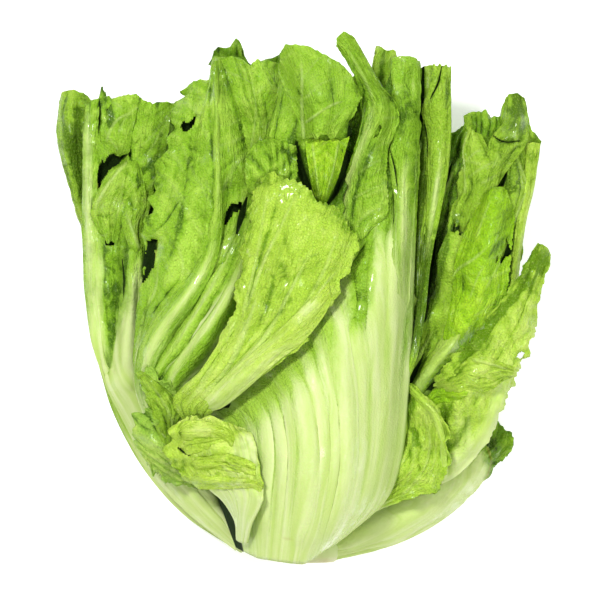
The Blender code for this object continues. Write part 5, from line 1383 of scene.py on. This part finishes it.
lay_leaf(
    "leaf_center", "leaf_pale", None, "tip_left", sheet,
    net=(60, 160), seed=14.3, pleats=(13, 0.35), crinkle=0.8, teeth=2,
    top=[(337, 47), (336, 40), (343, 33), (352, 37), (357, 45)], nicks=2.5, slant=0.6,
    root=[(352, 236), (357, 241), (362, 240), (368, 232), (372, 228)], vein_show=0.3,
    stations=[((352, 236), (372, 228), (0, 2, 0)), ((341, 221), (385, 217), (1, 3, 2)),
      ((341, 200), (388, 202), (1, 4, 2)), ((346, 180), (387, 184), (1, 4, 2)),
      ((353, 160), (387, 164), (1, 4, 2)), ((361, 138), (389, 146), (1, 4, 3)),
      ((367, 118), (398, 124), (1, 4, 3)), ((368, 100), (396, 104), (1, 4, 2)),
      ((359, 80), (379, 86), (1, 3.5, 2)), ((348, 62), (368, 66), (1, 3, 1)),
      ((337, 47), (357, 45), (1, 3, 1))],
    veins=[(5, 1.6, [(340, 232), (343, 205), (349, 178), (358, 154), (366, 134), (371, 116), (374, 98)]),
      (1.4, 0.7, [(374, 102), (366, 84), (354, 62), (346, 46)]),
      (0.9, 0.6, [(356, 176), (372, 164), (386, 160)]), (0.9, 0.6, [(352, 200), (370, 190), (386, 184)]),
      (0.9, 0.6, [(356, 224), (370, 212), (386, 208)])],
    creases=[(1.8, 1.6, [(378, 88), (390, 99), (396, 112), (393, 130)]),
      (1.6, 1.4, [(385, 150), (388, 170), (384, 192)]), (1.6, 1.4, [(356, 236), (362, 222), (376, 214)])],
    tints=[(2.6, -0.2, -0.5, [(353, 232), (353, 208), (358, 186), (366, 164), (375, 142)]),
      (3, 0.5, 0.3, [(343, 222), (345, 196), (354, 165), (366, 134)])],
    holes=[[(374, 138), (376, 131), (379, 126), (381, 130), (378, 136)]],
)
lay_leaf(
    "leaf_center", "leaf_pale", None, "tip_right", sheet,
    net=(34, 160), seed=14.6, pleats=(12, 0.2), crinkle=0.3, teeth=2,
    hollows=[(1.2, 1, [(390, 196), (393, 215), (391, 232)]), (1.2, 1, [(390, 150), (395, 170), (397, 190)])],
    fade=(-0.15, 0.7), top=[(391, 66), (392, 59), (400, 57), (410, 57), (416, 59), (419, 66)], nicks=0.8,
    vein_show=0.1,
    stations=[((388, 330), (408, 330), (-1, -1, -1)), ((390, 285), (410, 285), (-1, 0, -1)),
      ((392, 240), (413, 240), (0, 2, 0)), ((394, 205), (415, 205), (1, 3, 1)),
      ((391, 180), (417, 180), (1, 3.5, 1)), ((389, 155), (418, 155), (1, 4, 1)),
      ((395, 138), (419, 138), (1.5, 4.5, 1)), ((400, 122), (419, 122), (1.5, 4.5, 1)),
      ((398, 108), (420, 108), (1.5, 4, 1)), ((393, 92), (421, 92), (1.5, 4, 1)),
      ((391, 66), (419, 66), (1.5, 4, 1))],
    veins=[(1, 0.6, [(414, 230), (415, 180), (416, 140)]), (1.2, 0.6, [(402, 250), (402, 200), (404, 150)])],
    creases=[(1.4, 1.4, [(412, 113), (415, 112), (417, 113)]),
      (1.2, 1, [(405, 150), (406, 162), (404, 176)])],
    tints=[(5, 0, -0.3, [(402, 110), (402, 140)]), (12, 0, -0.3, [(406, 66), (409, 128)]),
      (5, 0.35, 0.25, [(404, 160), (402, 250)]), (3, 0, -0.3, [(416, 130), (414, 200)]),
      (2.5, 0.3, 0.3, [(413, 70), (412, 104)])],
)

# The right small leaf is a short lime leaf with a pointed tip and a frilly edge, thin and soft, that
# leans on the side of the centre leaf.
sheet = lay_leaf(
    "leaf_right_small", "leaf_lime", LIGHT_GREEN,
    stations=[((344, 504), (356, 518), (48.5, 48.5, 48)), ((376, 474), (404, 502), (48, 50, 52)),
      ((393, 436), (440, 484), (51, 60, 60)), ((402, 408), (449, 446), (50, 65, 69)),
      ((409, 392), (438, 408), (52, 66, 71))], top=[(409, 392), (410, 384), (420, 391), (438, 407)], thick=3,
    petiole=0.3, ruffle=3, waves=7, teeth=11, wrinkle=4, seed=15,
    ribs=[(5, -3.5, [(444, 412), (446, 450), (444, 476)])], net=(60, 84), fade=(0.05, 0.3),
    midrib=[(350, 511), (395, 485), (425, 445), (424, 392)], pleats=(8, 0.8), crinkle=1, frill=1.3, nicks=3,
    veins=[(1.1, 0.8, [(400, 500), (424, 470), (430, 440), (424, 408)]),
      (1, 0.6, [(406, 490), (414, 460), (412, 430)]), (1, 0.6, [(428, 480), (436, 456), (434, 430)])],
    creases=[(1.6, 1.6, [(404, 440), (412, 456), (408, 474)]),
      (1.6, 1.6, [(424, 440), (420, 460), (424, 478)])],
    tints=[(7, 0, -0.9, [(407, 386), (412, 398), (408, 412), (404, 420)]),
      (4, 0, -0.6, [(412, 428), (418, 436), (414, 448)])],
)
lay_leaf(
    "leaf_right_small", "leaf_lime", None, "rim", sheet,
    net=(18, 70), seed=15.4, pleats=(7, 0.4), crinkle=0.3, nicks=0.5, frill=0.3, fade=(-1.2, 1.6),
    top=[(405, 385), (409, 384)], vein_show=0,
    stations=[((441, 482), (447, 482), (-1, -1, -1)), ((441, 450), (447, 452), (0, 1.5, 0.5)),
      ((437, 430), (443, 430), (0.5, 2, 1)), ((431, 414), (437, 413), (0.5, 2.5, 1)),
      ((421, 404), (428, 402), (0.5, 2.5, 1)), ((411, 394), (417, 391), (0.5, 2, 1)),
      ((405, 385), (409, 384), (0, 1, 0))],
)

# The left small leaf is a short toothed leaf of a bluer green, thin and soft, that comes out to the
# left from beneath the lime leaf.
BLUE_GREEN = ((0.33, 0.56, 0.06), (0.5, 0.7, 0.12), (0.085, 0.2, 0.012))
sheet = lay_leaf(
    "leaf_left_small", "leaf_green", BLUE_GREEN,
    stations=[((238, 534), (245, 532), (46.5, 46.5, 46.5)), ((228, 512), (236, 507), (46.5, 47, 47)),
      ((214, 495), (224, 484), (46.5, 47, 47.5)), ((195, 490), (204, 460), (48, 50, 52)),
      ((174, 486), (188, 419), (50, 59, 66)), ((156, 474), (180, 392), (53, 68, 76)),
      ((142, 456), (150, 376), (57, 70, 79))],
    top=[(146, 462), (137, 446), (130, 430), (134, 416), (146, 412), (150, 398), (141, 386), (137, 374),
      (146, 371)], thick=3, petiole=0.3, ruffle=2, waves=6, teeth=13, wrinkle=3.5, seed=16,
    ribs=[(5, -2.5, [(150, 386), (162, 412), (176, 440)]), (5, 2.5, [(198, 474), (170, 452), (142, 434)])],
    net=(64, 90), fade=(0.1, 0.3), midrib=[(242, 533), (220, 490), (190, 466), (150, 440)], pleats=(9, 0.6),
    crinkle=0.8, frill=1, nicks=5, vein_show=0.2,
    veins=[(1, 0.7, [(186, 462), (160, 448), (138, 430)]), (1, 0.7, [(184, 466), (162, 462), (142, 454)]),
      (1, 0.7, [(182, 470), (168, 472), (158, 478)]), (1, 0.6, [(178, 450), (160, 432), (148, 416)])],
    creases=[(1.5, 2.4, [(148, 415), (155, 427), (162, 438)])],
    hollows=[(9, 1.5, [(206, 480), (216, 494), (226, 508), (236, 526), (243, 544)])],
)
lay_leaf(
    "leaf_left_small", "leaf_green", SOFT_GREEN, "upper", sheet,
    net=(30, 70), seed=16.4, pleats=(8, 0.6), crinkle=1.1, frill=1.2, nicks=4,
    top=[(135, 373), (141, 371), (148, 374)], vein_show=0.4,
    stations=[((166, 456), (182, 452), (-1, 0, -1)), ((156, 428), (177, 428), (0.5, 2.5, 1)),
      ((149, 408), (181, 408), (0.5, 3, 1)), ((145, 391), (168, 391), (0.5, 2.5, 1)),
      ((135, 373), (148, 374), (0, 1, 0))],
    creases=[(1.8, 2.2, [(160, 408), (165, 424), (168, 440)]),
      (1.4, 1.4, [(152, 396), (160, 410), (166, 408)])],
    veins=[(1, 0.8, [(172, 444), (172, 420), (160, 396), (148, 380)])],
)

# The left lime leaf is a short wrinkled leaf, folded across, on a pale heart-shaped base of thick
# crisp flesh. Rolled folds of its blade lie across the fold.
LIME_GREEN = ((0.47, 0.69, 0.06), (0.64, 0.82, 0.15), (0.175, 0.33, 0.008))
sheet = lay_leaf(
    "leaf_left_lime", "leaf_lime", LIME_GREEN,
    stations=[((237, 540), (247, 543), (66, 71, 76)), ((234, 518), (252, 522), (68, 80, 92)),
      ((214, 492), (263, 496), (68, 88, 103)), ((176, 470), (261, 468), (71, 86, 102)),
      ((170, 440), (254, 438), (75, 86, 99)), ((180, 424), (244, 426), (82, 88, 97))],
    top=[(180, 422), (196, 417), (216, 419), (244, 425)], thick=3, petiole=0.35, ruffle=2, waves=6, teeth=11,
    wrinkle=3.5, seed=17,
    ribs=[(6, 2.5, [(180, 432), (214, 428), (244, 432)]), (6, 2.5, [(182, 460), (218, 448), (250, 450)]),
      (6, 2.5, [(190, 478), (226, 472), (258, 476)])], net=(76, 90), fade=(0.42, 0.5), slant=0.3,
    pleats=(12, 0.3), crinkle=1.3, frill=1, nicks=2, fluting=0, side_teeth=(1, 0.2), vein_show=0.2,
    hollows=[(1.8, 1, [(178, 447), (183, 450), (190, 455)])],
    midrib=[(242, 541), (240, 495), (220, 460), (212, 418)],
    creases=[(1.6, 1.8, [(182, 452), (200, 457), (222, 455)]),
      (1.6, 1.6, [(206, 460), (230, 463), (256, 475)]), (1.6, 1.4, [(205, 475), (230, 472), (254, 477)]),
      (2, 2.4, [(178, 448), (182, 450), (186, 446)])],
    tints=[(13, 0.9, 0.25, [(248, 432), (248, 466)]), (20, 0.6, 0.4, [(240, 500), (244, 530)]),
      (26, 0.25, 0.1, [(180, 450), (262, 468)])],
)
lay_leaf(
    "leaf_left_lime", "leaf_lime", None, "roll", sheet,
    net=(30, 80), seed=17.2, pleats=(9, 0.5), crinkle=1, frill=0.5, nicks=1, top=[(236, 437), (232, 446)],
    vein_show=0,
    stations=[((177, 427), (179, 438), (0, 1, 0)), ((190, 420), (191, 439), (0.5, 4.5, 0.5)),
      ((211, 422), (212, 437), (0.5, 4.5, 0.5)), ((227, 427), (226, 440), (0.5, 3.5, 0.5)),
      ((236, 437), (232, 446), (0, 1, 0))],
    tints=[(5, 0, -0.6, [(176, 426), (179, 437)]), (7, 0.3, 0.3, [(190, 428), (214, 429)])],
)
lay_leaf(
    "leaf_left_lime", "leaf_lime", None, "fold_a", sheet,
    net=(20, 60), seed=17.4, pleats=(9, 0.5), crinkle=1, frill=0.5, nicks=1, top=[(226, 434), (224, 441)],
    vein_show=0,
    stations=[((180, 439), (183, 455), (0, 1, 0)), ((194, 438), (198, 452), (0.5, 3.5, 1)),
      ((211, 437), (213, 446), (0.5, 3, 0.5)), ((226, 434), (224, 441), (0, 0.5, 0))],
)
lay_leaf(
    "leaf_left_lime", "leaf_lime", None, "fold_b", sheet,
    net=(26, 76), seed=17.5, pleats=(9, 0.5), crinkle=1.2, frill=0.6, nicks=1, top=[(256, 462), (256, 474)],
    vein_show=0,
    stations=[((186, 456), (190, 470), (0, 1, 0)), ((204, 456), (206, 470), (0.5, 3.5, 0.5)),
      ((224, 452), (226, 469), (0.5, 3.5, 0.5)), ((242, 456), (244, 472), (0.5, 2.5, 0.5)),
      ((256, 462), (256, 474), (0, 1, 0))], creases=[(1.2, 1, [(206, 462), (222, 461), (240, 466)])],
)
lay_leaf(
    "leaf_left_lime", "leaf_lime", None, "fold_c", sheet,
    net=(20, 70), seed=17.6, pleats=(9, 0.3), crinkle=0.8, frill=1.2, nicks=2, top=[(263, 481), (262, 491)],
    vein_show=0,
    stations=[((186, 474), (192, 488), (0, 1, 0)), ((208, 474), (208, 489), (0.5, 3, 0.5)),
      ((232, 475), (230, 488), (0.5, 3, 0.5)), ((250, 476), (250, 486), (0.5, 3, 0.5)),
      ((263, 481), (262, 491), (0, 1, 0))],
)

# The front leaf is folded forward over the middle, its pale veins fanning from its stalk to a jagged
# far edge. Its flesh is thin, and its rim curls up a little.
sheet = lay_leaf(
    "leaf_front", "leaf_pale", LIGHT_GREEN,
    stations=[((206, 462), (220, 457), (70, 71, 72)), ((192, 430), (214, 430), (69.5, 70.5, 71.5)),
      ((174, 399), (213, 411), (79, 82, 83)), ((202, 370), (250, 384), (91, 97, 99)),
      ((229, 324), (294, 350), (96, 105, 107)), ((236, 284), (318, 318), (98, 109, 108)),
      ((246, 240), (346, 274), (99, 110, 104)), ((262, 184), (358, 242), (99, 107, 99))],
    top=[(262, 182), (268, 175), (284, 179), (302, 187), (320, 201), (337, 207), (348, 228), (360, 242)],
    thick=4.5, petiole=0.5, ruffle=2, waves=4, teeth=9, wrinkle=3, seed=18,
    ribs=[(6, 2.5, [(204, 404), (262, 362), (310, 306), (344, 240)]),
      (6, 2.5, [(196, 392), (240, 340), (280, 262), (300, 196)]),
      (5, 2.5, [(190, 388), (230, 330), (248, 270), (268, 190)]),
      (6, -2.5, [(220, 382), (268, 320), (316, 218)])], net=(104, 150), fade=(-0.3, 0.35), pleats=(13, 0.6),
    closer=1.7, vein_show=0.2, crinkle=0.8, frill=0.8, nicks=3.5,
    flow=[[(204, 464), (190, 430), (172, 400), (202, 370), (229, 324), (236, 284), (246, 240), (262, 180)],
      [(210, 461), (199, 430), (190, 404), (222, 368), (254, 318), (268, 274), (282, 232), (296, 186)],
      [(215, 459), (207, 430), (202, 408), (238, 377), (282, 332), (302, 290), (322, 250), (336, 206)],
      [(222, 456), (216, 430), (214, 412), (252, 386), (296, 352), (320, 320), (348, 276), (362, 240)]],
    midrib=[(196, 400), (252, 345), (320, 214)],
    veins=[(1.6, 1.2, [(240, 372), (278, 340), (303, 314), (325, 284), (346, 260)]),
      (1.4, 1.2, [(290, 326), (308, 300), (325, 268), (341, 222)]),
      (1.4, 1.1, [(244, 318), (262, 268), (280, 230), (302, 184)]),
      (1.3, 1, [(242, 322), (256, 262), (266, 206), (272, 178)]),
      (1.5, 1.1, [(200, 400), (230, 362), (250, 320), (264, 280)]),
      (1.5, 1, [(214, 394), (262, 342), (290, 292), (318, 236)]),
      (1.3, 0.9, [(196, 396), (222, 352), (240, 310)])],
    creases=[(1.6, 2, [(206, 392), (240, 360), (272, 322), (292, 300)]),
      (1.6, 2, [(196, 386), (222, 352), (238, 325)])],
    tints=[(9, 0.2, 0.2, [(250, 346), (276, 318)]), (11, 0, -0.4,
      [(256, 184), (276, 176), (304, 188), (330, 206), (356, 236)]),
      (9, 0, -0.25, [(240, 260), (250, 216), (262, 184)]),
      (10, -0.4, -0.4, [(172, 398), (190, 410), (206, 416)]),
      (6, -0.5, -0.7, [(190, 424), (204, 422), (216, 418)])],
)
lay_leaf(
    "leaf_front", "leaf_pale", LIME_GREEN, "rim", sheet,
    net=(28, 130), seed=18.4, pleats=(8, 0.4), crinkle=0.5, frill=0.3, nicks=0.6, fade=(-0.6, 1.4),
    top=[(328, 283), (331, 300)], vein_show=0,
    stations=[((190, 408), (202, 419), (-1, -1, -1)), ((208, 393), (227, 404), (-0.5, 2, 0)),
      ((228, 374), (247, 388), (0, 3, 0.5)), ((256, 350), (276, 362), (0, 3.5, 0.5)),
      ((283, 326), (302, 342), (0, 3.5, 0.5)), ((306, 304), (322, 318), (0, 3, 0.5)),
      ((328, 283), (331, 300), (0, 1, 0))], tints=[(6, 0.5, 0.35, [(300, 316), (318, 300)])],
)


# The head lies on a plain white studio floor: matt board that glows faintly, so that it stays white to
# its far edges. It is laid a hair below the leaves.
FLOOR_SIZE = 6.0
FLOOR_LEVEL = -0.0002
FLOOR_WHITES = ((0.96, 0.96, 0.96), (0.98, 0.98, 0.98))
bpy.ops.mesh.primitive_plane_add(size=FLOOR_SIZE, location=(0.0, 0.0, FLOOR_LEVEL))
floor = bpy.context.object
floor.name = "floor"
floor_paint = Paint("white floor")
grit = floor_paint.node("ShaderNodeTexNoise", {}, {"Scale": 9.0})
floor.data.materials.append(floor_paint.finish(base_color=grit.mix(*FLOOR_WHITES), roughness=0.8,
                                               emission_color=(1.0, 1.0, 1.0), emission_strength=0.4))


# The studio light is a bright cool sky all round, and two round soft lamps above: a small one beyond
# the tips that draws the relief, and a broad one that fills the shade.
SKY_COLOR = (0.96, 0.98, 1.0, 1.0)
SKY_STRENGTH = 0.37
world = bpy.data.worlds.new("studio")
world.use_nodes = True
world.node_tree.nodes["Background"].inputs["Color"].default_value = SKY_COLOR
world.node_tree.nodes["Background"].inputs["Strength"].default_value = SKY_STRENGTH
bpy.context.scene.world = world


def lamp(name, place, size, power):
    """A round soft lamp that faces the middle of the head."""
    bpy.ops.object.light_add(type="AREA", location=place)
    light = bpy.context.object
    light.name = name
    light.data.shape = "DISK"
    light.data.size = size
    light.data.energy = power
    light.rotation_euler = (-Vector(place)).to_track_quat("-Z", "Y").to_euler()


lamp("key lamp", (-0.57, 0.63, 2.0), size=0.36, power=32.0)
lamp("fill lamp", (0.85, -0.38, 2.1), size=1.35, power=24.5)


# The camera looks straight down on the head from far off, as the photograph was taken. Its lens is
# long enough that one plan unit at the height looked at fills one pixel of the picture.
CAMERA_REACH = 3.0
PICTURE_WIDTH = 600.0
PICTURE_MIDDLE = (300.0, 300.0)
LEVEL_LOOKED_AT = 0.07
FAR_END = 20.0
camera_place = (*from_plan(*PICTURE_MIDDLE), LEVEL_LOOKED_AT + CAMERA_REACH)
bpy.ops.object.camera_add(location=camera_place, rotation=(0.0, 0.0, 0.0))
camera = bpy.context.object
camera.data.lens = camera.data.sensor_width * CAMERA_REACH / (PICTURE_WIDTH * PLAN_UNIT)
camera.data.clip_end = FAR_END
bpy.context.scene.camera = camera
bpy.context.scene.view_settings.view_transform = "Standard"
